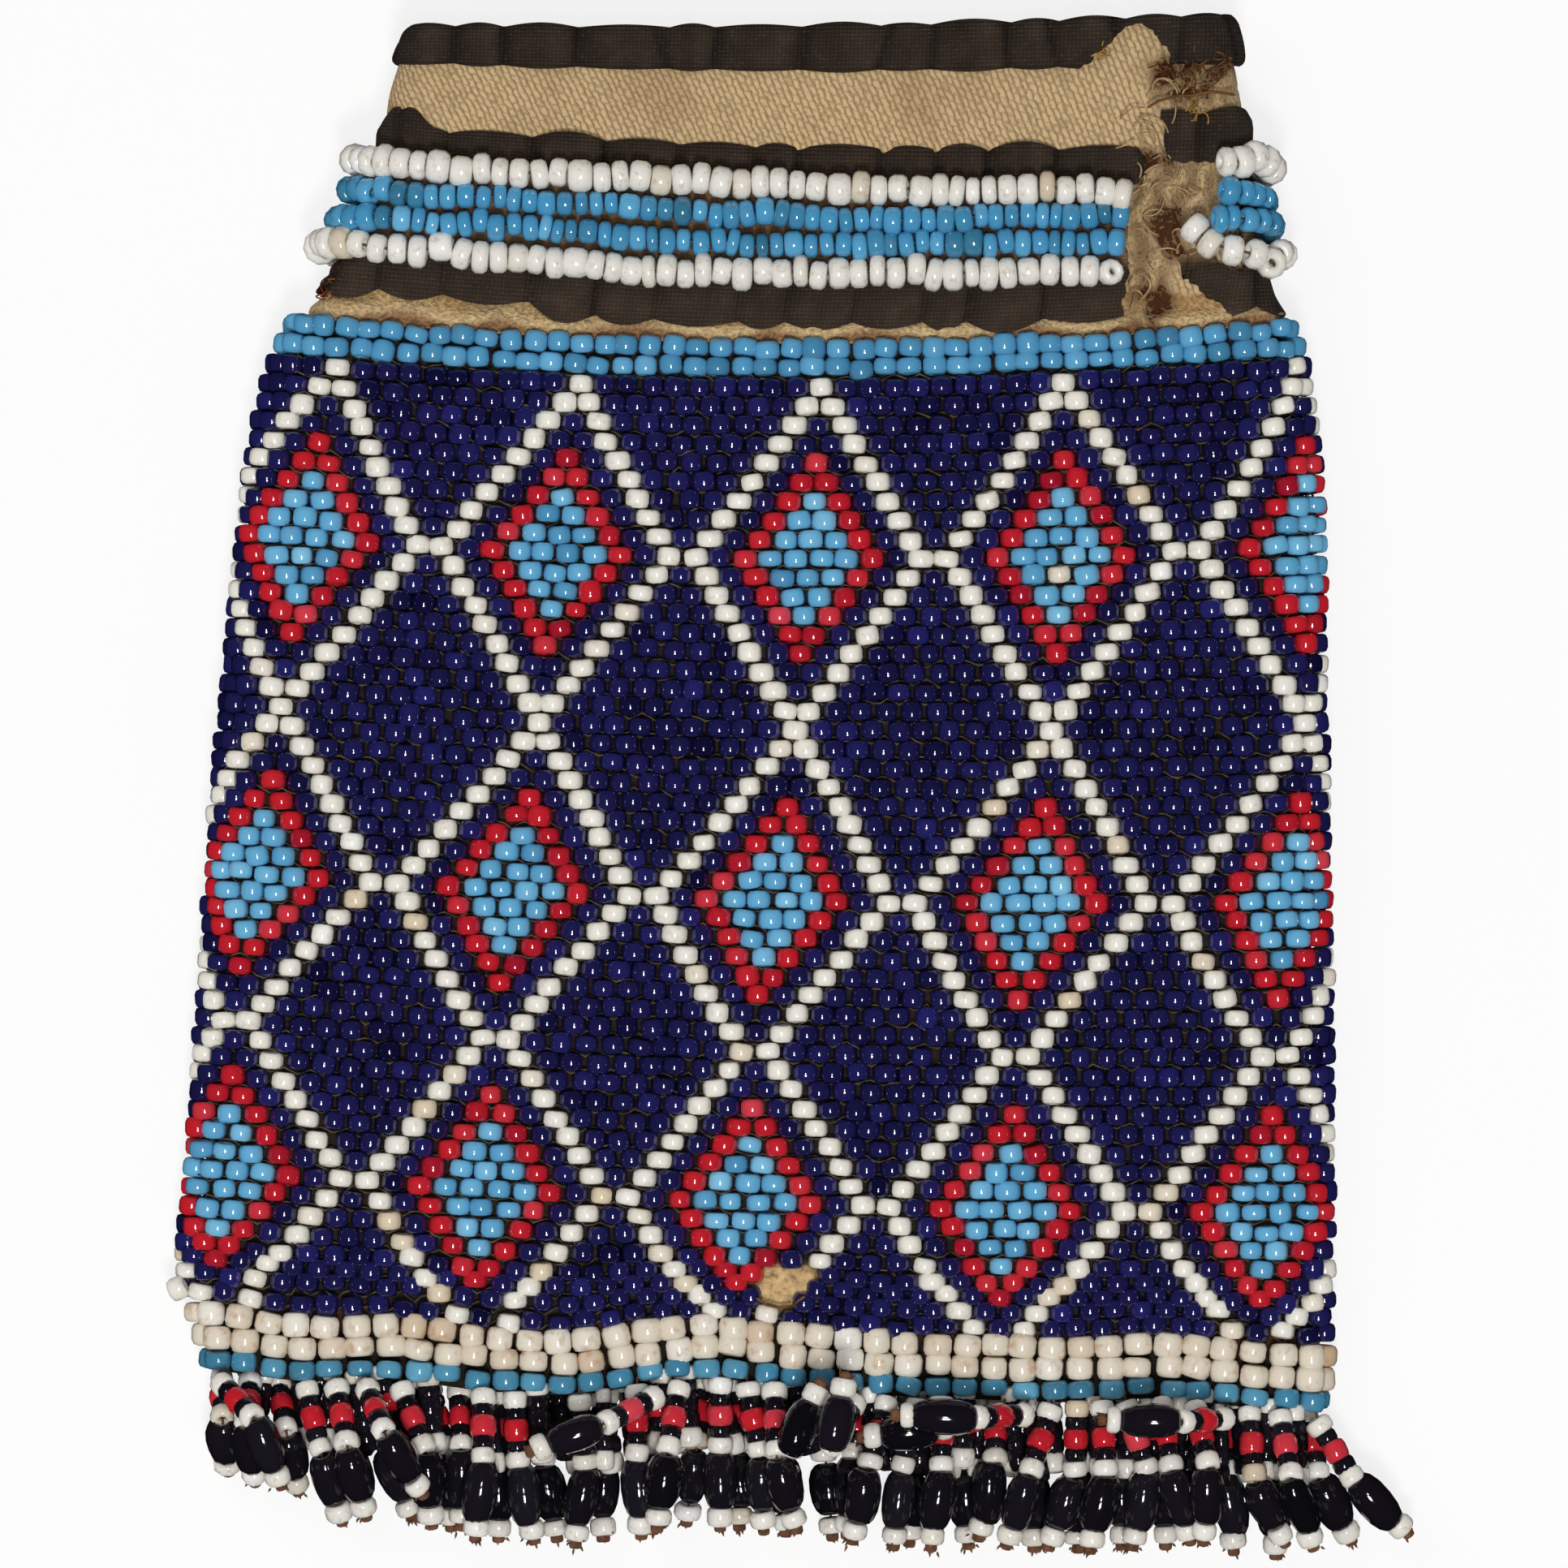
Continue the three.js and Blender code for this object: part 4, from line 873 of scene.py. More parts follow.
class BAG_OT_bead_field(bpy.types.Operator):
    """Bead sleeve: brick-stitched navy beads with a white lattice and red and sky diamonds"""

    bl_idname = "bag.bead_field"
    bl_label = "Bead sleeve"

    def execute(self, context):
        size = sizes()
        row, count, y, run = field_places()
        kind = field_colours(row, count)
        random = np.random.default_rng(7)
        proud = BEAD_LINE + random.normal(0, FIELD_STRAY, len(row))
        run = run + random.normal(0, FIELD_STRAY, len(row))
        unsteady = np.where(row > CROWDED_ROW, CROWDED_STRAY, EVEN_STRAY)
        height = y + unsteady * random.normal(0, 1, len(row)) - LAST_ROW_DROP * (row == ROWS - 1)
        centres, axes, outs = upright_beads(height, run, BEAD_LINE, proud)
        keep = ~in_bare_patch(centres)
        crowded = np.where(row > CROWDED_ROW, CROWDED_LENGTH, 1.0)
        front = outs[:, 2] > BACK_BELOW
        navy = glass_bead_material("cobalt glass")
        white = glass_bead_material("cream opaque glass")
        red = glass_bead_material("scarlet glass")
        sky = glass_bead_material("sky-blue opaque glass")
        stained = STAINED_TONE * np.clip((row - STAINED_FROM) / (ROWS - STAINED_FROM), 0, 1)
        # Label, glass, shares of the bead's diameter and length, slot and CAD node
        kinds = [
            ("navy", navy, 1.03, 1.03, "navy_beads", "bead_sleeve"),
            ("white", white, 1.07, 0.95, "white_beads", "white_lattice"),
            ("red", red, 1.04, 0.98, "navy_beads", "bead_sleeve"),
            ("sky", sky, 1.06, 0.96, "sky_beads", "bead_sleeve"),
        ]
        lower = row > ROWS // 2
        parts = [
            ("front_upper", front & ~lower),
            ("front_lower", front & lower),
            ("back", ~front),
        ]
        for number, (label, material, wide, tall, slot_name, node) in enumerate(kinds):
            for part, chosen in parts:
                pick = keep & chosen & (kind == number)
                piece = beads(
                    f"sleeve_{label}_{part}",
                    centres[pick],
                    axes[pick],
                    outs[pick],
                    size["field_bead_length"] * tall * crowded[pick],
                    size["field_bead"] * wide,
                    material,
                    11 + number,
                    PLAIN_OUTLINE if part == "back" else ROUND_OUTLINE,
                    BACK_SIDES if part == "back" else FRONT_SIDES,
                    LOOSE["sleeve"],
                    stained[pick] if label == "white" else 0.0,
                )
                dress(piece, slot_name, node)
        piece = beads(
            "sleeve_corner_bead", CORNER_BEAD, CORNER_AXIS, FACING_UP,
            size["field_bead_length"], size["field_bead"], white, 19, ROUND_OUTLINE, 12,
        )
        dress(piece, "white_beads", "white_lattice")
        return {"FINISHED"}


# Backing cloth in millimetres: how far it stands off the pouch, bulges where it is bare, and ends above the
# foot of the sleeve and below the top of the header
BACKING_OFF = 0.55
BARE_BULGE = 0.9
BACKING_INSET = 0.2
BACKING_DROP = 0.4
# Places along the bag between which the backing's grid is finer, and shares of the girth
FINE_ROWS_FROM = -55
FINE_ROWS_TO = -49
FINE_SHARE_FROM = 0.0008
FINE_SHARE_TO = 0.032
# Thread between the rows in millimetres: how far it swings into the gaps between beads at the front and at
# the back, stands off the pouch, sinks where the cloth is bare, and strays outwards and along the bag; and
# its radius as a share of the thread's width
THREAD_SWING = 0.3
BACK_SWING = 0.1
THREAD_OFF = 1.3
THREAD_SINK = 2
THREAD_STRAY_OUT = 0.4
THREAD_STRAY_ALONG = 0.1
THREAD_SQUEEZE = 0.35


class BAG_OT_sleeve_thread(bpy.types.Operator):
    """Backing cloth under the beads and the brown thread that runs between their rows"""

    bl_idname = "bag.sleeve_thread"
    bl_label = "Sleeve backing and thread"

    def execute(self, context):
        size = sizes()
        even_rows = np.linspace(FIELD_BOTTOM + BACKING_INSET, HEADER_TOP - BACKING_DROP, 45)
        y = np.sort(np.append(even_rows, np.linspace(FINE_ROWS_FROM, FINE_ROWS_TO, 16)))
        even_shares = np.arange(110) / 110
        share = np.sort(np.append(even_shares, np.linspace(FINE_SHARE_FROM, FINE_SHARE_TO, 24)))
        run = share[None, :] * girth(y, 0)[:, None]
        points, _ = surface(y[:, None], run, 0, BACKING_OFF)
        bare = bareness(points)
        points[..., 2] += BARE_BULGE * bare
        material = backing_material("brown cotton backing", linear("#2e261f"), linear("#c4a475"))
        faces = grid_faces(len(y), len(share), True)
        piece = build_mesh("sleeve_backing", points.reshape(-1, 3), faces, material, None, {"bare": bare})
        dress(piece, "navy_beads", "bead_sleeve")
        rows = np.arange(ROWS + 1)
        line = np.interp(rows - 0.5, np.arange(ROWS), row_height(np.arange(ROWS)))
        line[0], line[-1] = FIELD_TOP, FIELD_BOTTOM
        thread = thread_material("brown sewing cotton", colours().thread)
        random = np.random.default_rng(17)
        for name, middle, steps, swing in [("front", 0.0, 4, THREAD_SWING), ("back", 0.5, 2, BACK_SWING)]:
            share = middle + np.linspace(-0.25, 0.25, BEADS_AROUND // 2 * steps + 1)
            zigzag = np.cos(TURN * (share[None, :] * BEADS_AROUND - 0.5 * (rows % 2)[:, None]))
            stray = random.normal(0, 1, (len(rows), len(share)))
            run = along("twist", line)[:, None] + share[None, :] * girth(line, BEAD_LINE)[:, None]
            proud = THREAD_OFF + THREAD_STRAY_OUT * np.roll(stray, 5, axis=1)
            y = line[:, None] + swing * zigzag + THREAD_STRAY_ALONG * stray
            paths, _ = surface(y, run, BEAD_LINE, proud)
            paths[..., 2] -= THREAD_SINK * bareness(paths)
            piece = tubes(f"sleeve_threads_{name}", paths, THREAD_SQUEEZE * size["thread"], thread, 3)
            dress(piece, "navy_beads", "bead_sleeve")
        return {"FINISHED"}


# How far beads of the header and of the hem stray, in millimetres: round, along and out of the bag
HEADER_STRAY = (0.13, 0.12, 0.1)
HEM_STRAY = (0.14, 0.12, 0.1)
# Length and diameter of a header bead as shares of a sleeve bead's
HEADER_LENGTH = 1.03
HEADER_WIDTH = 1.05


class BAG_OT_header_rows(bpy.types.Operator):
    """Two rows of sky-blue beads along the top of the sleeve"""

    bl_idname = "bag.header_rows"
    bl_label = "Header rows"

    def execute(self, context):
        size = sizes()
        material = glass_bead_material("sky-blue header glass")
        random = np.random.default_rng(21)
        row, count = np.meshgrid(np.arange(2), np.arange(BEADS_AROUND) - BEADS_AROUND // 2, indexing="ij")
        row, count = row.ravel(), count.ravel()
        y = HEADER_BOTTOM + (row + 0.5) * (HEADER_TOP - HEADER_BOTTOM) / 2
        sideways, upwards, outwards = HEADER_STRAY
        run = count * girth(y, BEAD_LINE) / BEADS_AROUND + random.normal(0, sideways, len(row))
        proud = BEAD_LINE + random.normal(0, outwards, len(row))
        centres, axes, outs = upright_beads(y + random.normal(0, upwards, len(row)), run, BEAD_LINE, proud)
        length = size["field_bead_length"] * HEADER_LENGTH
        diameter = size["field_bead"] * HEADER_WIDTH
        piece = beads(
            "header_beads", centres, axes, outs, length, diameter, material, 22,
            CUSHION_OUTLINE, loose=LOOSE["header"],
        )
        dress(piece, "sky_beads", "header_rows")
        return {"FINISHED"}


# Room between hem beads, and their lengths along the bag, in millimetres
HEM_ROOM = 0.06
HEM_CREAM_LENGTH = 2.45
HEM_BLUE_LENGTH = 1.95


class BAG_OT_hem_rows(bpy.types.Operator):
    """Two rows of large cream beads and one of blue beads at the hem"""

    bl_idname = "bag.hem_rows"
    bl_label = "Hem rows"

    def execute(self, context):
        size = sizes()
        cream = glass_bead_material("stained cream glass")
        teal = glass_bead_material("teal opaque glass")
        pitch = size["hem_bead"] + HEM_ROOM
        upper = (HEM_TOP + HEM_MIDDLE) / 2
        lower = (HEM_MIDDLE + HEM_WHITE_BOTTOM) / 2
        lowest = (HEM_BLUE_TOP + HEM_BOTTOM) / 2
        # Length, share of the bead's diameter, glass, slot and CAD node
        white = (HEM_CREAM_LENGTH, 1.03, cream, "stained_white_beads", "hem_rows_white")
        blue = (HEM_BLUE_LENGTH, 0.98, teal, "sky_beads", "hem_row_blue")
        rows = [
            ("hem_cream_upper", upper, 31, *white),
            ("hem_cream_lower", lower, 32, *white),
            ("hem_blue", lowest, 33, *blue),
        ]
        sideways, upwards, outwards = HEM_STRAY
        for name, y, seed, length, wide, material, slot_name, node in rows:
            random = np.random.default_rng(seed)
            line = size["gap"] + size["hem_bead"] * wide / 2
            number = int(girth(y, line) / pitch)
            y = np.full(number, y) + random.normal(0, upwards, number)
            count = np.arange(number) - number // 2
            run = count * girth(y, line) / number + random.normal(0, sideways, number)
            centres, axes, outs = upright_beads(y, run, line, line + random.normal(0, outwards, number))
            piece = beads(
                name, centres, axes, outs, length, size["hem_bead"] * wide, material, seed,
                BARREL_OUTLINE, loose=LOOSE["hem"],
            )
            dress(piece, slot_name, node)
        return {"FINISHED"}


# Torn place, in millimetres: ends of the strings as distances from the bag's middle line, how far they stand
# off the pouch and sag at the left end, how far and over what length the right ends are pulled up, the
# length before that, and the margin beyond the left end from which the right side counts
STRING_LEFT_END = 33.2
STRING_RIGHT_END = 43.4
RIGHT_END_SHIFT = {"white_upper": -2.0, "white_lower": 7.0}
STRING_SEAT = 1.5
LEFT_END_SAG = 1.0
LEFT_SAG_LENGTH = 4.5
RIGHT_RISE = 2.2
RISE_LENGTH = 14.0
RISE_FULL_LENGTH = 6
TEAR_MARGIN = 3


def right_rise(run, whole):
    """The pull upwards beyond the tear: full at the torn end, none a way round the back."""
    beyond = np.where(run > STRING_LEFT_END + TEAR_MARGIN, run, run + whole)
    return RIGHT_RISE * np.clip(1 - (beyond - STRING_RIGHT_END - RISE_FULL_LENGTH) / RISE_LENGTH, 0, 1)


# Loose end of the lowest string: bead centres across, along and above the table, in millimetres
LOOSE_END = np.array([
    [50.9, 54.4, 12.5],
    [49.2, 55.3, 14.0],
    [46.8, 55.7, 14.4],
    [44.5, 56.4, 14.2],
    [42.9, 58.0, 13.9],
])
# Hole direction of the end beads that have turned towards the eye
END_ON = [0.35, 0.1, 0.93]
# Spread, least and most of the string beads' lengths as shares of their spacing, and spread of their widths
STRING_LENGTH_SPREAD = 0.13
STRING_LENGTH_LEAST = 0.74
STRING_LENGTH_MOST = 1.32
STRING_WIDTH_SPREAD = 0.06
# How far the strings wave and over what length, and how far their beads stray along and out of the bag
STRING_WAVE = 0.22
STRING_WAVE_LENGTH = 8.0
STRING_STRAY = 0.16
STRING_STRAY_OUT = 0.1


class BAG_OT_neck_strings(bpy.types.Operator):
    """Four strings of beads round the neck, broken at the torn place, the lowest with a loose end"""

    bl_idname = "bag.neck_strings"
    bl_label = "Neck strings"

    def execute(self, context):
        size = sizes()
        white = glass_bead_material("cream string glass")
        blue = glass_bead_material("blue string glass")
        thread = thread_material("brown stringing cotton", linear("#7a5a3c"))
        strings = [
            ("white_upper", white, "white", "white_beads", 41),
            ("blue_upper", blue, "blue", "sky_beads", 42),
            ("blue_lower", blue, "blue", "sky_beads", 43),
            ("white_lower", white, "white", "white_beads", 44),
        ]
        cores = []
        for label, material, kind, slot_name, seed in strings:
            random = np.random.default_rng(seed)
            diameter = size[f"{kind}_string_bead"]
            pitch = size[f"{kind}_string_pitch"]
            height = STRING_HEIGHTS[label]
            line = STRING_SEAT + diameter / 2
            whole = float(girth(height, line))
            right_end = STRING_RIGHT_END + RIGHT_END_SHIFT.get(label, 0.0)
            number = int((whole - right_end + STRING_LEFT_END) / pitch)
            long = random.normal(1, STRING_LENGTH_SPREAD, number)
            long = np.clip(long, STRING_LENGTH_LEAST, STRING_LENGTH_MOST)
            long = long * pitch / long.mean()
            run = STRING_LEFT_END - np.cumsum(long) + long / 2
            wave = STRING_WAVE * np.sin(run / STRING_WAVE_LENGTH + seed)
            wander = wave + random.normal(0, STRING_STRAY, number)
            y = height + wander + right_rise(run, whole)
            if label == "white_upper":
                share = (run - STRING_LEFT_END + LEFT_SAG_LENGTH) / LEFT_SAG_LENGTH
                y = y - LEFT_END_SAG * np.clip(share, 0, 1)
            proud = line + random.normal(0, STRING_STRAY_OUT, number)
            centres, outs = surface(y, run, line, proud)
            if label == "white_lower":
                centres = np.concatenate([centres, LOOSE_END])
                outs = np.concatenate([outs, np.repeat(FACING_UP, len(LOOSE_END), 0)])
                long = np.append(long, np.full(len(LOOSE_END), pitch))
            axes = unit(np.gradient(centres, axis=0))
            if label == "white_lower":
                axes[[0, -len(LOOSE_END)]] = END_ON
                outs[[0, -len(LOOSE_END)]] = [0.0, 1.0, 0.0]
            thick = random.normal(1, STRING_WIDTH_SPREAD, len(centres))
            piece = beads(
                f"string_{label}", centres, axes, outs, long, diameter * thick, material, seed,
                CUSHION_OUTLINE, loose=LOOSE["strings"],
            )
            dress(piece, slot_name, f"bead_string_{label}")
            cores.append(along_route(centres, 300))
        piece = tubes("string_threads", cores, size["thread"] / 2, thread, 4)
        dress(piece, "white_beads", "bead_string_white_upper")
        return {"FINISHED"}


# Pleats of the dark cotton: how many, where the first starts, least and most width and most slant in
# millimetres, least and most strength, and shares of its width in which a pleat rises and falls
PLEATS = 60
PLEATS_FROM = -200
PLEAT_WIDTHS = (4.5, 9.5)
PLEAT_SLANT = 1.6
PLEAT_STRENGTHS = (0.35, 1.0)
PLEAT_RISE = 0.35
PLEAT_FALL = 0.1
# Painted light on a pleat: place and half width of its crown, where a highlight is painted, of its crease
# and of its foot, where shade is painted, and how much paler and darker they are
CROWN_AT = 0.72
CROWN_HALF = 0.16
CREASE_AT = 0.97
CREASE_HALF = 0.05
FOOT_HALF = 0.12
CROWN_SHEEN = 0.32
CREASE_SHADE = 0.45


def pleats(run, level, seed):
    """Uneven folds: each rises slowly and drops at a slanting crease.

    Gives the height and a bump for the edges, 0 to 1, and painted light: shade painted dark in the crease
    and at the foot, and a highlight painted pale on the crown.
    """
    random = np.random.default_rng(seed)
    creases = np.cumsum(random.uniform(*PLEAT_WIDTHS, PLEATS)) + PLEATS_FROM
    slant = random.uniform(-PLEAT_SLANT, PLEAT_SLANT, PLEATS)
    strength = random.uniform(*PLEAT_STRENGTHS, PLEATS)
    moved = run + np.interp(run, creases, slant) * (level - 0.5)
    number = np.clip(np.searchsorted(creases, moved) - 1, 0, PLEATS - 2)
    share = (moved - creases[number]) / (creases[number + 1] - creases[number])
    rise = np.clip(share / PLEAT_RISE, 0, 1)
    fall = np.clip((1 - share) / PLEAT_FALL, 0, 1)
    height = rise * rise * (3 - 2 * rise) * fall * fall * (3 - 2 * fall)
    bump = np.sin(np.pi * np.clip(share, 0, 1))
    crown = np.exp(-(((share - CROWN_AT) / CROWN_HALF) ** 2))
    fold_shading = np.exp(-(((share - CREASE_AT) / CREASE_HALF) ** 2)) + np.exp(-((share / FOOT_HALF) ** 2))
    sheen = 0.5 + strength[number] * (CROWN_SHEEN * crown - CREASE_SHADE * np.clip(fold_shading, 0, 1))
    return height * strength[number], bump * strength[number], sheen


def cloth_maps(run, y, faces):
    """Cloth coordinates in millimetres at each face corner: distance round and along the bag."""
    flat = np.stack([np.broadcast_to(run, y.shape), y], -1).reshape(-1, 2)
    return {"cloth": flat[faces.ravel()]}


def edge_distance(points, corners):
    """Distance of points from a polygon's edge in the plan view, negative inside it."""
    corners = np.asarray(corners, float)
    start, stop = corners, np.roll(corners, -1, axis=0)
    side = stop - start
    off = points[:, None, :2] - start[None]
    share = np.clip(np.sum(off * side, -1) / np.sum(side * side, -1), 0, 1)
    nearest = np.linalg.norm(off - share[..., None] * side, axis=-1).min(axis=1)
    above = (start[None, :, 1] > points[:, None, 1]) != (stop[None, :, 1] > points[:, None, 1])
    rise = np.where(side[:, 1] == 0, 1e-9, side[:, 1])
    cross = start[None, :, 0] + (points[:, None, 1] - start[None, :, 1]) / rise * side[:, 0]
    inside = np.sum(above & (points[:, None, 0] < cross), axis=1) % 2 == 1
    return np.where(inside, -nearest, nearest)


# Torn edges in millimetres: heights of the two waves that make them ragged, height above the table from
# which cloth is torn, distance that stands for untorn cloth, step over which the slope is taken, longest
# move of a point, and least slope counted
RAGGED_WAVE = 0.14
RAGGED_SLANT = 0.12
TORN_ABOVE = 8.0
UNTORN = 9.0
SLOPE_STEP = 0.05
LONGEST_MOVE = 0.8
LEAST_SLOPE = 0.3


def torn(points, faces, corners):
    """Cuts a polygon out of a cloth's front, seen from above, and draws the cut's points onto its edge.

    Faces whose middle lies inside are left out. A point shared by a kept and a lost face moves along the
    slope of the distance to the edge, so that the edge is not stepped; small waves make it ragged.
    """
    x, y = points[:, 0], points[:, 1]
    ragged = RAGGED_WAVE * np.sin(y * 3.1) + RAGGED_SLANT * np.sin(x * 4.3 + y * 1.7)
    apart = edge_distance(points, corners) + ragged
    apart = np.where(points[:, 2] > TORN_ABOVE, apart, UNTORN)
    kept = apart[faces].mean(axis=1) > 0
    uses_kept = np.zeros(len(points), bool)
    uses_lost = np.zeros(len(points), bool)
    uses_kept[faces[kept].ravel()] = True
    uses_lost[faces[~kept].ravel()] = True
    rim = uses_kept & uses_lost
    climbs = [
        edge_distance(points[rim] + step, corners) - edge_distance(points[rim] - step, corners)
        for step in SLOPE_STEP * np.eye(3)[:2]
    ]
    slope = np.stack(climbs, -1) / (2 * SLOPE_STEP)
    steepness = np.maximum(np.sum(slope * slope, -1), LEAST_SLOPE)
    moved = points.copy()
    moved[rim, :2] -= np.clip(apart[rim] / steepness, -LONGEST_MOVE, LONGEST_MOVE)[:, None] * slope
    return moved, faces[kept]


# What is torn away on the front at the right, seen from above, in millimetres across and along
BAND_TEAR = [
    (36.9, 75), (37.2, 66), (38.1, 64.1), (36.0, 61.9), (35.8, 56.6), (36.0, 52.8), (35.4, 50.8),
    (35.7, 45.5), (48.0, 45.5), (47.8, 48.3), (41.8, 52.8), (41.1, 55.1), (43.2, 55.6), (48.0, 53.4),
    (48.0, 65.2), (41.1, 65.0), (40.0, 65.5), (39.4, 70.2), (39.4, 75),
]
BINDING_TEAR = [
    (29.8, 73.5), (32.2, 75.7), (34.3, 77.7), (36.2, 79.3), (37.6, 79.4), (37.9, 79.0), (39.4, 77.3),
    (40.4, 76.2), (40.4, 73.5),
]

# The canvas's rolled edge above the header: height in millimetres, wave of its top as a share of that, where
# it starts, middle and half width of the roll, and how far it stands out evenly and in waves
LIP_HEIGHT = 4.6
LIP_WAVE = 0.12
LIP_START = -0.6
ROLL_MIDDLE = 0.75
ROLL_HALF = 1.1
ROLL_OUT = 0.9
ROLL_WAVE = 0.9
# Length of canvas below the hem's edge, in millimetres
CANVAS_SPARE = 0.4
# Shares of the girth between which the canvas's grid is finer, at the tear
FINE_CANVAS_FROM = 0.13
FINE_CANVAS_TO = 0.25
# Frayed canvas at the tear in millimetres: the split's place and half width across and its ends along, worn
# patches by place across and along and half sizes, and height of the ridges
SPLIT_ACROSS = 38.3
SPLIT_HALF = 2.4
SPLIT_TOP = 67
SPLIT_BOTTOM = 47
WORN_PATCHES = [(42.8, 73.2, 4.6, 3.2), (43, 62, 3.6, 3.6)]
RIDGE_HEIGHT = 0.9
# Stains on the canvas at the tear: place across and along and half sizes in millimetres, and strength
STAINS = [
    (40.3, 58.4, 1.2, 1.6, 2.2), (41.2, 55.7, 1.3, 1.0, 1.2), (39.7, 74.3, 1.4, 1.3, 1.3),
    (43.4, 74.5, 3.6, 1.5, 0.5), (38.8, 65.2, 1.6, 0.7, 1.2), (39.2, 50.4, 1.5, 1.3, 1.6),
    (46.8, 75.4, 1.4, 0.9, 0.8), (42.2, 72.2, 2.4, 0.5, 1.0),
]
# Painted shade in the hollows between the ridges and on the part behind the hem, and the most of stain and
# painted shade that counts
RIDGE_SHADE = 0.6
HEM_GAP_SHADE = 4
STRONGEST_STAIN_AND_SHADE = 3


class BAG_OT_canvas_pouch(bpy.types.Operator):
    """Open canvas pouch with its folded edge showing above the beadwork"""

    bl_idname = "bag.canvas_pouch"
    bl_label = "Canvas pouch"

    def execute(self, context):
        covered = np.linspace(HEM_BOTTOM - CANVAS_SPARE, FIELD_TOP, 20)[:-1]
        y = np.concatenate([covered, np.linspace(FIELD_TOP, RIM, 76)])
        torn_part = np.linspace(FINE_CANVAS_FROM, FINE_CANVAS_TO, 70)
        share = np.unique(np.round(np.append(np.arange(240) / 240 - 0.5, torn_part), 5))
        run = share[None, :] * girth(y, 0)[:, None]
        y = np.broadcast_to(y[:, None], run.shape)
        flat, _ = surface(y, run, 0, 0)
        x, above = flat[..., 0], flat[..., 1]
        front = flat[..., 2] > along("back", y) + along("depth", y) / 2
        # Share down the rolled lip, which its colour follows: painted shadow of the band at its top, painted
        # highlight on its ridge
        fall = 1 - (y - HEADER_TOP) / LIP_HEIGHT - LIP_WAVE * np.sin(run / 2.1 + np.sin(run / 5.3))
        lip = np.clip(fall, 0, 1) * (y > HEADER_TOP + LIP_START)
        roll = np.exp(-(((y - HEADER_TOP - ROLL_MIDDLE) / ROLL_HALF) ** 2))
        # Each wave is shifted by a slower one, so that it never repeats evenly
        broad_wave = 0.3 * np.sin(run / 2.6 + 1.9 * np.sin(run / 7.3))
        wave = 0.5 + broad_wave + 0.2 * np.sin(run / 1.1 + np.sin(run / 3.1))
        swell = 0.25 * np.sin(run / 9 + 0.8) * np.clip((y - HEADER_TOP) / 4, 0, 1)
        ridges = 1 - np.abs(np.sin(1.15 * x + 0.9 * np.sin(0.55 * above) + 0.5 * np.sin(1.3 * above + x)))
        in_split = (above < SPLIT_TOP) * (above > SPLIT_BOTTOM)
        fray = np.exp(-(((x - SPLIT_ACROSS) / SPLIT_HALF) ** 4)) * in_split
        for at, level, wide, tall in WORN_PATCHES:
            fray = fray + np.exp(-(((x - at) / wide) ** 4) - ((above - level) / tall) ** 4)
        fray = np.clip(fray, 0, 1) * front
        proud = roll * (ROLL_OUT + ROLL_WAVE * wave) + swell + RIDGE_HEIGHT * fray * (ridges - 0.4)
        points, _ = surface(y, run, 0, proud)
        stain = sum(
            much * np.exp(-(((x - at) / wide) ** 2) - ((above - level) / tall) ** 2)
            for at, level, wide, tall, much in STAINS
        )
        # Painted shade: darker in the hollows between frayed ridges, and dark on the canvas from the foot of
        # the sleeve down
        stain = stain * front + RIDGE_SHADE * fray * (1 - ridges) ** 2
        stain = stain + HEM_GAP_SHADE * (y < FIELD_BOTTOM + 1)
        fray = np.maximum(fray, np.clip(4 * lip, 0, 1))
        faces = grid_faces(len(y), len(share), True)
        material = twill_material("tan cotton twill", colours().canvas)
        piece = build_mesh(
            "pouch_canvas", points.reshape(-1, 3), faces, material, cloth_maps(run, y, faces),
            {"stain": np.clip(stain, 0, STRONGEST_STAIN_AND_SHADE), "fray": fray, "lip": lip},
        )
        dress(piece, "canvas", "canvas_pouch")
        return {"FINISHED"}


# Grid of the dark cotton
COTTON_COLUMNS = 640
BAND_ROWS = 28
BINDING_ROWS = 20
# Neck band in millimetres: place along the bag and off the pouch where its run is measured, how far it
# stands off the pouch between pleats, its pleats rise, and its lower and upper edges wave; its upper edge's
# spare height, and its pull at the tear as a share of the strings'
BAND_MIDDLE = 58.0
BAND_LINE = 0.8
BAND_OFF = 0.6
BAND_PLEAT = 0.8
BAND_LOWER_WAVE = 1.5
BAND_UPPER_WAVE = 0.9
BAND_UPPER_SPARE = 0.1
BAND_PULL = 1.5
# Its upper edge rolls in and its lower edge flares out, over shares of its height; its lower part is paler,
# partly worn and partly a painted sheen
ROLL_IN = 0.6
ROLL_SHARE = 0.07
FLARE_OUT = 0.45
FLARE_SHARE = 0.1
LOW_SHEEN = 0.3
# Its lower edge is drawn up at the left, from a distance left of the middle line
BAND_LIFT = 1.2
BAND_LIFT_FROM = -20.0
BAND_LIFT_LENGTH = 9.0
# Round lobe at the left end of its upper edge: distance from the middle line, half width and rise
LOBE_RUN = -43.4
LOBE_HALF = 2.6
LOBE_RISE = 2.7
# Cloth worn brown under the strings: heights along the bag, width of the soft edges, and how much
WORN_FROM = 53.6
WORN_TO = 62.0
WORN_EDGE = 0.8
WORN_SHARE = 0.75
# Section of the binding, folded over the rim: share of its height, and how far it stands out in millimetres
BINDING_FOLD = [
    (0, 0.3), (0.05, 0.75), (0.2, 0.95), (0.4, 1.0), (0.6, 0.95), (0.78, 0.85), (0.9, 0.65), (0.98, 0.3),
    (1.0, -0.25), (0.98, -0.8), (0.9, -1.25), (0.7, -1.5), (0.45, -1.4),
]
# Binding in millimetres: place off the pouch where its run is measured, rise of its pleats, waves of its
# edges and spare height below; and change of its sheen
BINDING_LINE = 0.6
BINDING_PLEAT = 0.5
BINDING_LOWER_WAVE = 0.35
BINDING_UPPER_WAVE = 0.55
BINDING_SPARE = 0.1
BINDING_SHEEN = -0.05


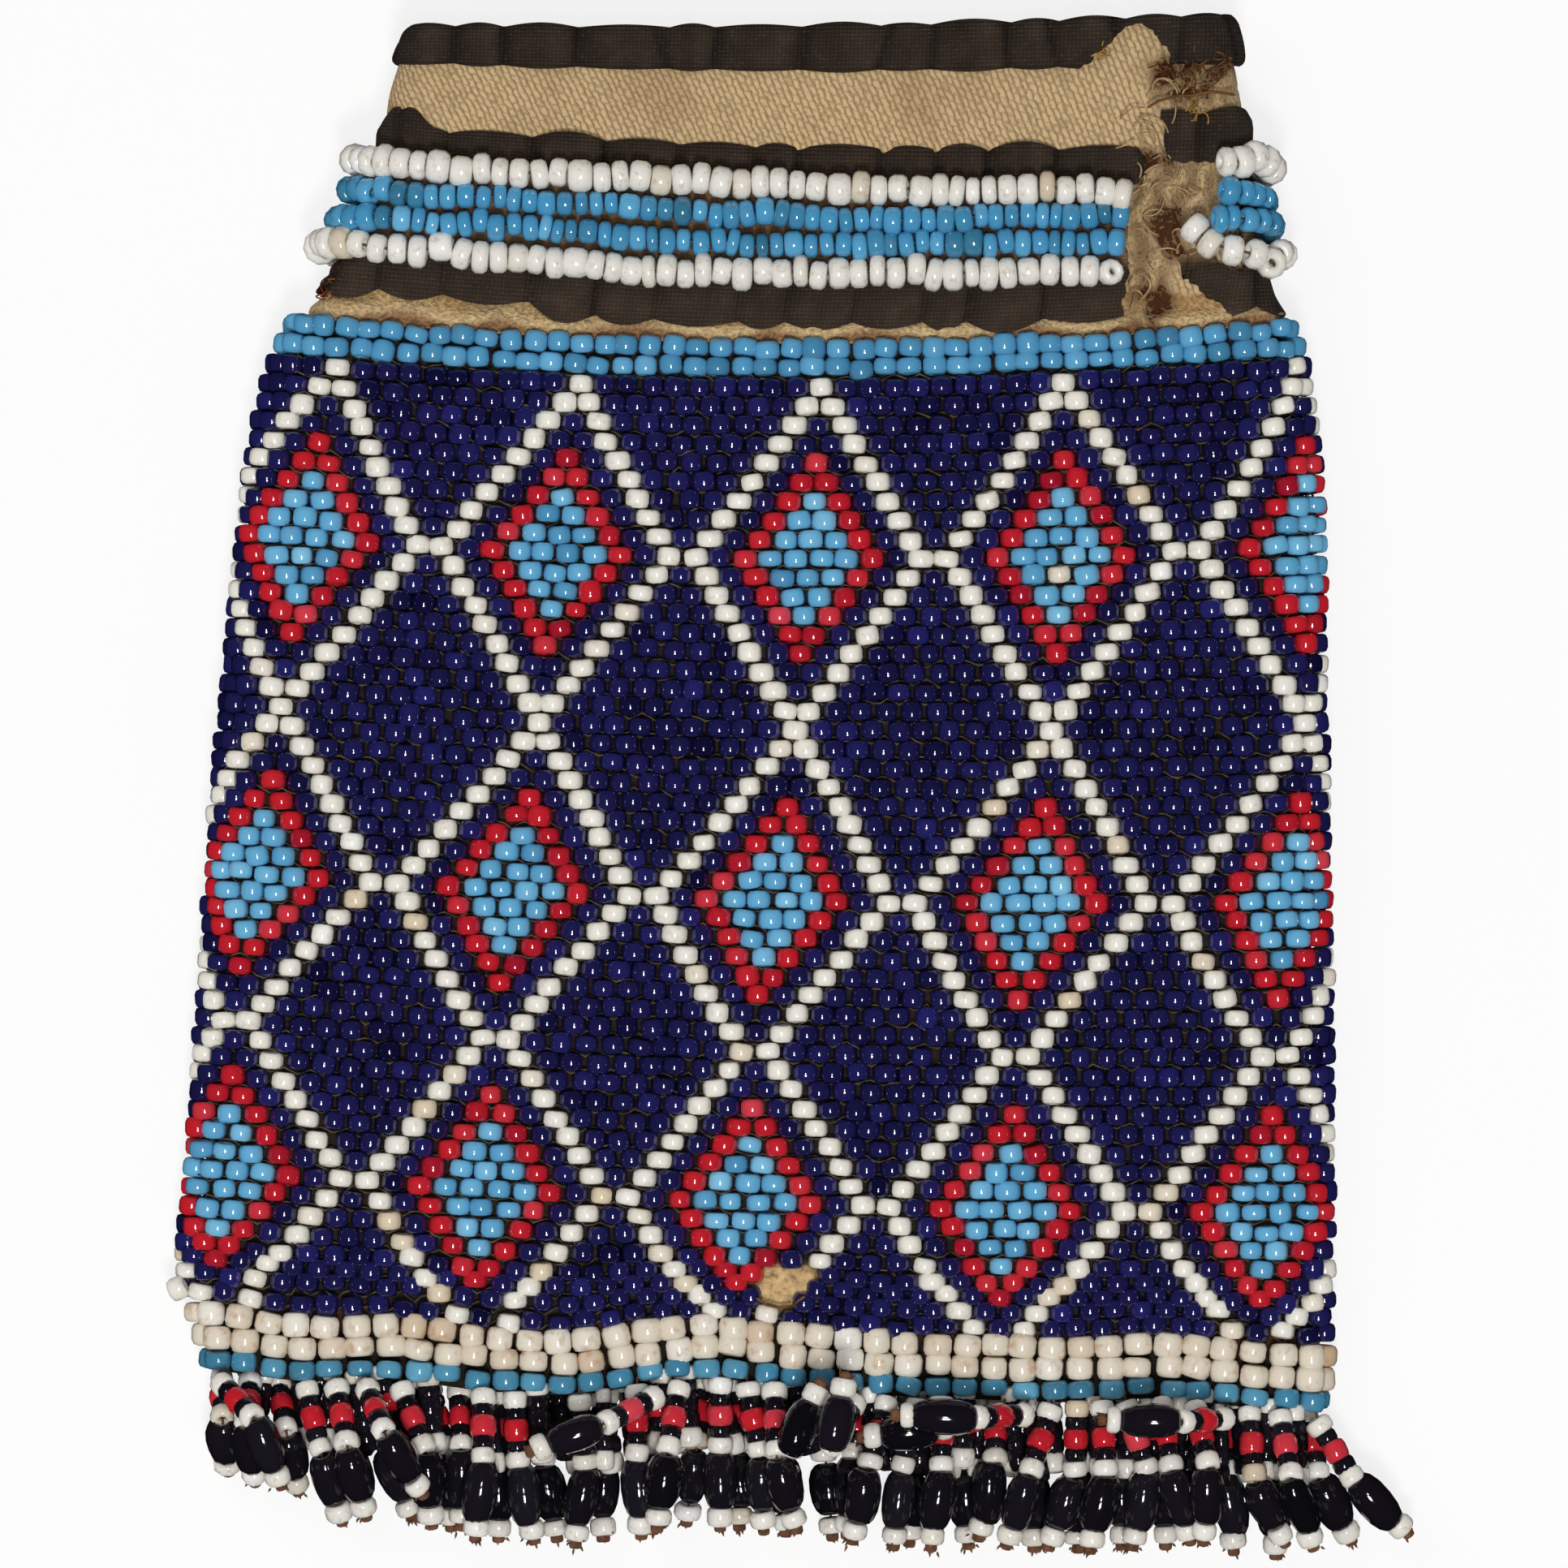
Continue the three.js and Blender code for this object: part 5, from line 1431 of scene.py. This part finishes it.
class BAG_OT_dark_cotton(bpy.types.Operator):
    """Dark gathered cotton, torn at the right: the binding folded over the rim and the neck band"""

    bl_idname = "bag.dark_cotton"
    bl_label = "Dark cotton"

    def execute(self, context):
        material = dark_cotton_material("dark brown cotton", colours().cotton)
        share = np.arange(COTTON_COLUMNS) / COTTON_COLUMNS
        level = np.linspace(0, 1, BAND_ROWS)[:, None]
        whole = float(girth(BAND_MIDDLE, BAND_LINE))
        run = np.broadcast_to((share * whole)[None, :] - whole / 2, (BAND_ROWS, COTTON_COLUMNS))
        # The pleats also give painted light: shade painted in their creases, a highlight painted on their
        # crowns
        height, bump, sheen = pleats(run, level, 3)
        rise = right_rise(run, whole) * BAND_PULL * level
        left = np.clip((BAND_LIFT_FROM - run[:1]) / BAND_LIFT_LENGTH, 0, 1)
        lower = BAND_BOTTOM - BAND_LOWER_WAVE * bump[:1] + BAND_LIFT * left
        lobe = np.exp(-(((run[:1] - LOBE_RUN) / LOBE_HALF) ** 4))
        upper = BAND_TOP + BAND_UPPER_SPARE + BAND_UPPER_WAVE * bump[-1:] * (1 - lobe) + LOBE_RISE * lobe
        y = lower + level * (upper - lower) + rise
        roll = ROLL_IN * np.clip((level - 1 + ROLL_SHARE) / ROLL_SHARE, 0, 1) ** 2
        flare = FLARE_OUT * np.clip((FLARE_SHARE - level) / FLARE_SHARE, 0, 1)
        proud = BAND_OFF + BAND_PLEAT * height + flare - roll
        # The lower part is made paler, partly as wear and partly as a painted sheen
        sheen = sheen + LOW_SHEEN * (1 - level) ** 2
        above = np.clip((y - WORN_FROM) / WORN_EDGE, 0, 1)
        worn = WORN_SHARE * above * np.clip((WORN_TO - y) / WORN_EDGE, 0, 1)
        points, _ = surface(y, run, BAND_LINE, proud)
        faces = grid_faces(BAND_ROWS, COTTON_COLUMNS, True)
        cut, kept = torn(points.reshape(-1, 3), faces, BAND_TEAR)
        piece = build_mesh(
            "neck_band_cotton", cut, kept, material, cloth_maps(run, y, kept),
            {"sheen": sheen, "worn": worn},
        )
        dress(piece, "dark_cotton", "neck_band")

        fold = along_route(BINDING_FOLD, BINDING_ROWS)
        level, out = fold[:, :1], fold[:, 1:]
        whole = float(girth(BINDING_TOP - 2, BINDING_LINE))
        run = np.broadcast_to((share * whole)[None, :] - whole / 2, (BINDING_ROWS, COTTON_COLUMNS))
        # As on the band, the pleats give painted shade in their creases and a painted highlight on their
        # crowns
        height, bump, sheen = pleats(run, level, 5)
        foot = BINDING_BOTTOM - BINDING_SPARE - BINDING_LOWER_WAVE * bump[:1]
        top = BINDING_TOP - BINDING_UPPER_WAVE + BINDING_UPPER_WAVE * bump[:1]
        y = foot + level * (top - foot)
        proud = out + BINDING_PLEAT * height * np.clip(out, 0, 1)
        points, _ = surface(y, run, BINDING_LINE, proud)
        faces = grid_faces(BINDING_ROWS, COTTON_COLUMNS, True)
        cut, kept = torn(points.reshape(-1, 3), faces, BINDING_TEAR)
        piece = build_mesh(
            "mouth_binding_cotton", cut, kept, material, cloth_maps(run, y, kept),
            {"sheen": sheen + BINDING_SHEEN, "worn": np.zeros(sheen.shape)},
        )
        dress(piece, "dark_cotton", "mouth_binding")
        return {"FINISHED"}


# Frayed places: name, middle, half size and longest fibre in millimetres, number of fibres and colour
FRAYED_PLACES = [
    ("frayed_canvas", (39.2, 60.0), (3.2, 12.0), 3.2, 46, "#b3956a"),
    ("frayed_stain", (42.9, 74.0), (4.0, 1.7), 2.0, 44, "#6b4526"),
    ("frayed_corner", (-48.8, 49.4), (2.2, 1.1), 2.6, 26, "#7d4128"),
    ("golden_tuft_left", (32.8, 76.4), (0.6, 0.6), 1.6, 16, "#ab8443"),
    ("golden_tuft_right", (42.8, 70.2), (0.6, 0.6), 1.5, 14, "#a27a3c"),
]
# Loose threads on the front: places across and along, in millimetres
LOOSE_THREADS = [
    [(37.9, 70.6), (39.0, 71.3), (40.8, 71.8), (42.8, 71.9), (44.6, 72.3), (46.6, 72.0)],
    [(-2.9, -53.9), (-1.8, -54.6), (-0.4, -54.9), (0.9, -54.7), (1.6, -54.1), (2.2, -53.7)],
]
# How far each of them stands off the pouch, and their radius, in millimetres
LOOSE_OFF = [1.3, 2.9]
LOOSE_RADIUS = 0.16
# Fibres in millimetres: how far they stand off the pouch and arch at most, and their radius; then their bend
# in radians, and length of the shortest as a share of the longest
FIBRE_OFF = 0.5
FIBRE_ARCH = 1.1
FIBRE_RADIUS = 0.09
FIBRE_BEND = 1.1
SHORTEST_FIBRE = 0.3


class BAG_OT_frayed_threads(bpy.types.Operator):
    """Loose fibres at the torn edges of the neck, and loose threads on the front"""

    bl_idname = "bag.frayed_threads"
    bl_label = "Frayed threads"

    def execute(self, context):
        random = np.random.default_rng(61)
        t = np.linspace(0, 1, 14)[None, :]
        for name, middle, half, longest, number, hex_code in FRAYED_PLACES:
            start = np.array(middle) + np.array(half) * random.uniform(-1, 1, (number, 2))
            length = random.uniform(SHORTEST_FIBRE, 1, number)[:, None] * longest
            heading = random.uniform(0, TURN, number)[:, None]
            heading = heading + random.normal(0, FIBRE_BEND, number)[:, None] * t
            x = start[:, :1] + length * t * np.cos(heading)
            y = start[:, 1:] + length * t * np.sin(heading)
            proud = FIBRE_OFF + FIBRE_ARCH * np.sin(np.pi * t) * random.random(number)[:, None]
            paths, _ = surface(y, x - along("lean", y), 0, proud)
            material = thread_material(name.replace("_", " "), linear(hex_code))
            piece = tubes(name, paths, FIBRE_RADIUS, material, 4)
            dress(piece, "canvas", "canvas_pouch")
        routes = np.stack([along_route(route, 40) for route in LOOSE_THREADS])
        x, y = routes[..., 0], routes[..., 1]
        paths, _ = surface(y, x - along("lean", y), 0, np.array(LOOSE_OFF)[:, None])
        paths[..., 1] = y
        material = thread_material("loose brown cotton", linear("#6d4a2c"))
        piece = tubes("loose_threads", paths, LOOSE_RADIUS, material)
        dress(piece, "canvas", "canvas_pouch")
        return {"FINISHED"}


# Fringe strands in the order they lie: place across the hem, lean of the small beads and of the long bead
# in degrees from straight down, right positive, and height in millimetres that the long bead sinks by
BACK_STRANDS = [
    (-59.3, 5, 3, 6), (-56.1, 0, 5, 5.4), (-53.4, 12, 9, 5), (-41.1, -6, 20, 2), (-37.5, 14, 4, 1.5),
    (-34.3, 4, 0, 1), (-30.1, 0, 0, 0), (-25.3, 0, 10, 1), (-18.5, -4, 0, 0), (-9.2, 0, -8, 1.5),
    (4.4, 0, 5, 0), (8.2, -8, -4, 1), (19, 0, 3, 0), (22.6, -4, -12, 1.5), (45.9, 6, 5, 0.5),
    (55, 10, 28, 3),
]
FRONT_STRANDS = [
    (-59.2, 47, 20, 3), (-50.2, 13, 16, 3), (-47, 12, 14, 3), (-40.3, 22, 4, 2), (-31.5, 0, -6, 1),
    (-28.3, 3, 12, 1.5), (-21.5, 5, -8, 0.5), (-15.4, 0, 3, 1), (-10.9, -10, -8, 1), (-6.7, 0, 0, 0.5),
    (-3.9, 10, 3, 1.5), (10.9, -16, -12, 1.5), (14.1, -13, -6, 1), (16.5, 0, -8, 0.5), (28.1, -18, -18, 2),
    (30.8, -2, -20, 1), (33.3, 3, -12, 0.5), (35.8, 18, -12, 1), (39.6, 8, 15, 2.5), (43, 12, -4, 2),
    (48.8, 4, 26, 3), (51.9, 10, 18, 3), (55.8, 32, 46, 2), (-43.8, 25, 31, 3), (-1, 2, 15, 1.5),
    (-13.1, -64, -70, 0), (23.2, -78, -84, 0), (25.6, -90, -92, 0), (46.4, -90, -92, 0),
]
FOLDED_STRANDS = [(4.6, -38, 155, 1), (7.6, -30, 168, 1)]
HIDDEN_STRANDS = [
    (-46.5, 0, 0, 3), (-13.8, 0, 0, 0), (-4.7, 0, 0, 0), (-0.1, 0, 2, 0), (13.2, 0, 0, 0),
    (26.4, 0, 0, 0), (31, 0, 0, 0), (35.6, 0, 0, 0), (40.2, 0, 0, 0), (51.3, 2, 2, 1),
]

# Beads of a strand from the hem down: kind, length and diameter in millimetres; and room between strands
SMALL_BEADS = [
    ("white", 1.6, 2.7), ("black", 1.3, 2.4), ("red", 2.1, 2.7), ("black", 1.3, 2.4), ("white", 1.6, 2.7),
]
LOW_BEADS = [("long", 6.0, 3.9), ("white", 1.6, 2.8), ("knot", 0.8, 1.4)]
SMALL_LENGTH = sum(length for _, length, _ in SMALL_BEADS)
LOW_LENGTH = sum(length for _, length, _ in LOW_BEADS)
STRAND_CLEARANCE = 0.25
# Roots of the strands in millimetres: back and depth of the pouch at the hem, room before and width of the
# hem's beads, drop below them, and radius that other strands keep clear of
HEM_BACK = STATIONS["back"][0]
HEM_DEPTH = STATIONS["depth"][0]
ROOT_ROOM = 0.3
ROOT_BEAD = 2.6
ROOT_DROP = 0.15
ROOT_RADIUS = 0.65
# Height above the table at which the long beads of the back layer lie, height of the front layer above them,
# lift of a folded strand's long bead, and step by which a strand is raised
REST_HEIGHT = 2.1
LAYER_HEIGHT = 4.05
FOLD_LIFT = 3.9
HEIGHT_STEP = 0.1
# Share of a strand's raising that its top follows, and steepest climb
TOP_SHARE = 0.4
MAX_CLIMB = 0.8
# Leaning strands start lower, by half a bead, and steep ones by less
LEAN_DROP = 1.35
STEEP_SHARE = 0.6
# Balls that stand for a bead: places as shares of its spare length, and inset as a share of its diameter
BALL_PLACES = (-1, -0.5, 0, 0.5, 1)
BALL_INSET = 0.35

# Broken strands between the whole ones, in millimetres: reach across the hem, step of the search, heights of
# their roots above the table, scales of the beads' diameters that are tried in turn, length and diameter of
# the beads they still hold, shares with a red and a white bead, tuck behind the hem, slack, spread of their
# lean in degrees, and overlap allowed
BROKEN_FROM = -58.5
BROKEN_TO = 54.0
BROKEN_STEP = 0.5
BROKEN_HEIGHTS = (4.4, 1.7, 6.6)
BROKEN_SCALES = (1.0, 0.7)
BROKEN_SIZES = [(1.5, 2.6), (1.5, 2.6), (1.9, 2.6), (1.6, 2.7), (2.0, 2.9)]
BROKEN_RED_SHARE = 0.2
BROKEN_WHITE_SHARE = 0.6
BROKEN_TUCK = 1.3
BROKEN_SLACK = 0.4
BROKEN_LEAN = 7
BROKEN_SQUEEZE = 0.85

# Tufts at the knots: number of fibres, then most length, spread, fanning out and radius in millimetres
TUFT_FIBRES = 26
TUFT_LENGTH = 0.45
TUFT_SPREAD = 0.34
TUFT_FAN = 0.4
TUFT_RADIUS = 0.15
# Length of a strand's thread that is hidden in the hem
HIDDEN_THREAD = 0.9
# Sides of the fringe's beads, and the direction that the first of them faces
FRINGE_SIDES = 9
FRINGE_FACING = [0.05, 0.1, 1.0]


def down_at(degrees):
    """A direction in plan, turned to the right from straight down."""
    angle = np.radians(degrees)
    return np.array([np.sin(angle), -np.cos(angle), 0.0])


def sloped(plan, climb):
    """A direction in plan that also climbs by a share of its length."""
    climb = np.clip(climb, -MAX_CLIMB, MAX_CLIMB)
    return plan * np.sqrt(1 - climb**2) + [0, 0, climb]


def bead_run(items, start, direction):
    """Beads end to end from a point: kind, middle, direction, length and diameter of each."""
    ends = np.cumsum([length for _, length, _ in items])
    return [
        (kind, start + direction * (end - length / 2), direction, length, diameter)
        for (kind, length, diameter), end in zip(items, ends)
    ]


def strand_beads(strand, side, rest, folded, height):
    """The root and beads of a strand whose long bead lies at a height above the table."""
    across, small, long, sink = strand
    off = HEM_DEPTH / 2 + ROOT_ROOM + ROOT_BEAD / 2
    root = lay(np.array([across, HEM_BOTTOM, HEM_BACK + HEM_DEPTH / 2 + side * off])) - [0, ROOT_DROP, 0]
    foot = root.copy()
    foot[2] += TOP_SHARE * max(0, height - rest)
    first = sloped(down_at(small), (height + sink - foot[2]) / SMALL_LENGTH)
    swing = np.sqrt(1 - first[1] ** 2)
    foot[1] -= LEAN_DROP * max(abs(np.sin(np.radians(small))), swing + STEEP_SHARE * first[1])
    joint = foot + first * SMALL_LENGTH
    if folded:
        joint[2] += FOLD_LIFT
    low = sloped(down_at(long), -sink / LOW_LENGTH)
    return root, bead_run(SMALL_BEADS, foot, first) + bead_run(LOW_BEADS, joint, low)


def balls_of(items):
    """Balls along each bead that stand for it when strands are laid over each other: centre and radius."""
    centres, radii = [], []
    for _, middle, direction, length, diameter in items:
        spare = max(length / 2 - BALL_INSET * diameter, 0)
        for at in BALL_PLACES if spare else (0,):
            centres.append(middle + direction * at * spare)
            radii.append(diameter / 2)
    return np.array(centres), np.array(radii)


def lay_strands():
    """Each strand is raised from its rest until its balls clear those of the strands already laid."""
    front_height = REST_HEIGHT + LAYER_HEIGHT
    layers = [
        (BACK_STRANDS, -1, REST_HEIGHT, False),
        (HIDDEN_STRANDS, -1, REST_HEIGHT, False),
        (FRONT_STRANDS, 1, front_height, False),
        (FOLDED_STRANDS, 1, front_height, True),
    ]
    placed, reach = np.zeros((0, 3)), np.zeros(0)
    strands = []
    for group, side, floor, folded in layers:
        for strand in group:
            height = floor
            while True:
                root, items = strand_beads(strand, side, floor, folded, height)
                centres, radii = balls_of(items)
                apart = np.linalg.norm(centres[:, None] - placed[None], axis=-1)
                if (apart >= radii[:, None] + reach[None] + STRAND_CLEARANCE).all():
                    break
                height += HEIGHT_STEP
            placed = np.concatenate([placed, centres, root[None]])
            reach = np.concatenate([reach, radii, [ROOT_RADIUS]])
            strands.append((root, items))
    return strands


def broken_strands(strands):
    """Broken strands between the whole ones: each is kept if its balls clear those already there."""
    random = np.random.default_rng(79)
    placed, reach = (np.concatenate(part) for part in zip(*(balls_of(items) for _, items in strands)))
    kept = []
    places = np.arange(BROKEN_FROM, BROKEN_TO, BROKEN_STEP)
    for scale, height, across in itertools.product(BROKEN_SCALES, BROKEN_HEIGHTS, places):
        drop = random.uniform(-BROKEN_TUCK, BROKEN_SLACK)
        root = lay(np.array([across, HEM_BOTTOM, height])) - [0, drop, 0]
        third = "red" if random.random() < BROKEN_RED_SHARE else "black"
        last = "white" if random.random() < BROKEN_WHITE_SHARE else "black"
        kinds = ("white", "black", third, "black", last)
        items = [(kind, length, scale * wide) for kind, (length, wide) in zip(kinds, BROKEN_SIZES)]
        hung = bead_run(items, root, down_at(random.normal(0, BROKEN_LEAN)))
        centres, radii = balls_of(hung)
        apart = np.linalg.norm(centres[:, None] - placed[None], axis=-1)
        if (apart < BROKEN_SQUEEZE * (radii[:, None] + reach[None])).any():
            continue
        placed = np.concatenate([placed, centres])
        reach = np.concatenate([reach, radii])
        kept.append((root, hung))
    return kept


class BAG_OT_fringe(bpy.types.Operator):
    """Fringe strands of small beads, a long black bead, an end bead and a knot"""

    bl_idname = "bag.fringe"
    bl_label = "Fringe"

    def execute(self, context):
        size = sizes()
        strands = lay_strands()
        items = [item for _, beads_of in strands + broken_strands(strands) for item in beads_of]
        separate = len(strands) - len(HIDDEN_STRANDS)
        nodes = ["hem_row_blue", *(f"fringe_strand_{i + 1:02d}" for i in range(separate))]
        cream = glass_bead_material("cream fringe glass")
        red = glass_bead_material("scarlet fringe glass")
        black = glass_bead_material("black glass")
        thread = thread_material("brown knotted cotton", linear("#6e4a35"))
        # Kind, material, slot, outline, share of its length that a bead fills, and seed
        kinds = [
            ("white", cream, "white_beads", ROUND_OUTLINE, 1.12, 71),
            ("black", black, "black_beads", ROUND_OUTLINE, 1.25, 72),
            ("red", red, "black_beads", ROUND_OUTLINE, 1.12, 73),
            ("long", black, "black_beads", LONG_OUTLINE, 1.04, 74),
            ("knot", thread, "white_beads", ROUND_OUTLINE, 1.2, 75),
        ]
        for kind, material, slot_name, outline, swell, seed in kinds:
            chosen = [item for item in items if item[0] == kind]
            centres = np.array([middle for _, middle, _, _, _ in chosen])
            axes = np.array([direction for _, _, direction, _, _ in chosen])
            lengths = np.array([length for _, _, _, length, _ in chosen]) * swell
            diameters = np.array([diameter for _, _, _, _, diameter in chosen])
            outs = np.tile(FRINGE_FACING, (len(chosen), 1))
            piece = beads(
                f"fringe_{kind}", centres, axes, outs, lengths, diameters, material, seed,
                outline, FRINGE_SIDES, LOOSE["fringe"],
            )
            dress(piece, slot_name, *nodes)
        paths = []
        for root, run in strands:
            middles = [middle for _, middle, _, _, _ in run]
            turn = len(SMALL_BEADS)
            _, middle, direction, length, _ = run[turn]
            bend = middle - direction * length / 2
            hidden = root + [0, HIDDEN_THREAD, 0]
            ends = [hidden, root, middles[0], middles[turn - 1], bend, middle, middles[-1]]
            paths.append(along_route(np.array(ends), 19))
        piece = tubes("fringe_threads", paths, size["thread"] / 2, thread, 4)
        dress(piece, "white_beads", *nodes)
        random = np.random.default_rng(76)
        knots = [item for item in items if item[0] == "knot"]
        tops = np.array([middle - 0.5 * length * direction for _, middle, direction, length, _ in knots])
        start = np.repeat(tops, TUFT_FIBRES, 0)
        way = np.repeat(np.array([direction for _, _, direction, _, _ in knots]), TUFT_FIBRES, 0)
        spread = random.normal(0, TUFT_SPREAD, (len(start), 3))
        long = TUFT_LENGTH * random.uniform(0.5, 1, len(start))
        t = np.linspace(0, 1, 4)[None, :, None]
        straight = start[:, None] + spread[:, None] + long[:, None, None] * t * way[:, None]
        fan = straight + TUFT_FAN * t**2 * spread[:, None]
        fan[..., 2] = np.maximum(fan[..., 2], TUFT_RADIUS)
        piece = tubes("fringe_tufts", fan, TUFT_RADIUS, thread, 3)
        dress(piece, "white_beads", *nodes)
        return {"FINISHED"}


# The photograph's frame in metres: 1932 pixels at 0.085 mm each, at the height of the bag's front
FRAME_WIDTH = 0.1642
FRONT_HEIGHT = 0.010
CAMERA_HEIGHT = 1.2
# Width of the camera's sensor in millimetres
SENSOR = 36.0
# Floor: rings by radius and rise in metres, corners of a ring, drop under the table's height in millimetres,
# share of its own light that the camera sees, and strength of the world's light
FLOOR_RADIUS = [0.0005, 0.4, 1.0, 1.6, 2.0, 2.4, 2.7, 2.85, 2.9]
FLOOR_RISE = [0, 0, 0, 0, 0.005, 0.03, 0.1, 0.2, 0.35]
FLOOR_SIDES = 64
FLOOR_DROP = 0.1
FLOOR_GLOW = 0.8
WORLD_STRENGTH = 0.2
# Lamps: name, place and width in metres, and power in watts
LAMPS = [
    ("flash", (0.03, -0.32, 1.06), 0.17, 6.2),
    ("second_flash", (0.02, -0.1, 1.24), 0.12, 2.2),
    ("window", (-0.5, 0.45, 0.9), 0.7, 3.0),
]


class BAG_OT_stage(bpy.types.Operator):
    """Pale floor that curves up far away, soft lamps, and a camera straight above"""

    bl_idname = "bag.stage"
    bl_label = "Stage"

    def execute(self, context):
        scene = context.scene
        scene.view_settings.view_transform = "Standard"
        radius = np.array(FLOOR_RADIUS)[:, None] / MM
        rise = np.array(FLOOR_RISE)[:, None] / MM
        angle = TURN * np.arange(FLOOR_SIDES) / FLOOR_SIDES
        level = np.repeat(rise, FLOOR_SIDES, 1)
        dish = np.stack([radius * np.cos(angle), radius * np.sin(angle), level], -1)
        material, tree = new_material("white paper")
        diffuse = add_node(tree, "BsdfDiffuse", values={"Color": rgba(linear("#f4f4f2"))})
        glow = add_node(tree, "Emission", values={"Color": (1, 1, 1, 1), "Strength": 1.0})
        path = add_node(tree, "LightPath")
        part = add_node(
            tree, "Math", {"operation": "MULTIPLY"}, {1: FLOOR_GLOW}, {0: (path, "Is Camera Ray")}
        )
        mix = add_node(
            tree, "MixShader", links={0: (part, 0), 1: (diffuse, "BSDF"), 2: (glow, "Emission")}
        )
        add_node(tree, "OutputMaterial", links={"Surface": (mix, "Shader")})
        points = dish.reshape(-1, 3) - [0, 0, FLOOR_DROP]
        floor = build_mesh("floor", points, grid_faces(len(radius), FLOOR_SIDES, True), material)
        floor.visible_glossy = False
        world = bpy.data.worlds.new("studio")
        world.use_nodes = True
        sky = world.node_tree.nodes["Background"]
        sky.inputs["Color"].default_value = (1, 1, 1, 1)
        sky.inputs["Strength"].default_value = WORLD_STRENGTH
        world.cycles_visibility.glossy = False
        scene.world = world
        for name, place, width, power in LAMPS:
            data = bpy.data.lights.new(name, "AREA")
            data.size = width
            data.energy = power
            lamp = bpy.data.objects.new(name, data)
            lamp.location = place
            aim = -np.array(place)
            tilt = np.arctan2(np.hypot(aim[0], aim[1]), -aim[2])
            lamp.rotation_euler = (tilt, 0, np.arctan2(aim[1], aim[0]) - np.pi / 2)
            lamp.visible_glossy = name != "window"
            scene.collection.objects.link(lamp)
        data = bpy.data.cameras.new("camera")
        data.sensor_width = SENSOR
        data.lens = SENSOR * (CAMERA_HEIGHT - FRONT_HEIGHT) / FRAME_WIDTH
        camera = bpy.data.objects.new("camera", data)
        camera.location = (0, 0, CAMERA_HEIGHT)
        scene.collection.objects.link(camera)
        scene.camera = camera
        return {"FINISHED"}


class BAG_PT_panel(bpy.types.Panel):
    """The bag's pieces, sizes and colours"""

    bl_idname = "BAG_PT_panel"
    bl_label = "Beaded bag"
    bl_space_type = "VIEW_3D"
    bl_region_type = "UI"
    bl_category = "Bag"

    def draw(self, context):
        for operator in OPERATORS:
            self.layout.operator(operator.bl_idname)
        for group in (context.scene.bag_sizes, context.scene.bag_colours):
            column = self.layout.column(align=True)
            for name in type(group).__annotations__:
                column.prop(group, name)


OPERATORS = (
    BAG_OT_stage,
    BAG_OT_canvas_pouch,
    BAG_OT_dark_cotton,
    BAG_OT_frayed_threads,
    BAG_OT_neck_strings,
    BAG_OT_header_rows,
    BAG_OT_bead_field,
    BAG_OT_sleeve_thread,
    BAG_OT_hem_rows,
    BAG_OT_fringe,
)
CLASSES = (BagSizes, BagColours, *OPERATORS, BAG_PT_panel)


def register():
    """Registers the classes and hangs the sizes and colours on the scene."""
    for item in CLASSES:
        bpy.utils.register_class(item)
    bpy.types.Scene.bag_sizes = bpy.props.PointerProperty(type=BagSizes)
    bpy.types.Scene.bag_colours = bpy.props.PointerProperty(type=BagColours)


def unregister():
    """Undoes what register does."""
    del bpy.types.Scene.bag_colours
    del bpy.types.Scene.bag_sizes
    for item in reversed(CLASSES):
        bpy.utils.unregister_class(item)


def main():
    """Registers the add-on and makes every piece."""
    register()
    for operator in OPERATORS:
        group, name = operator.bl_idname.split(".")
        getattr(getattr(bpy.ops, group), name)()


if __name__ == "__main__":
    main()
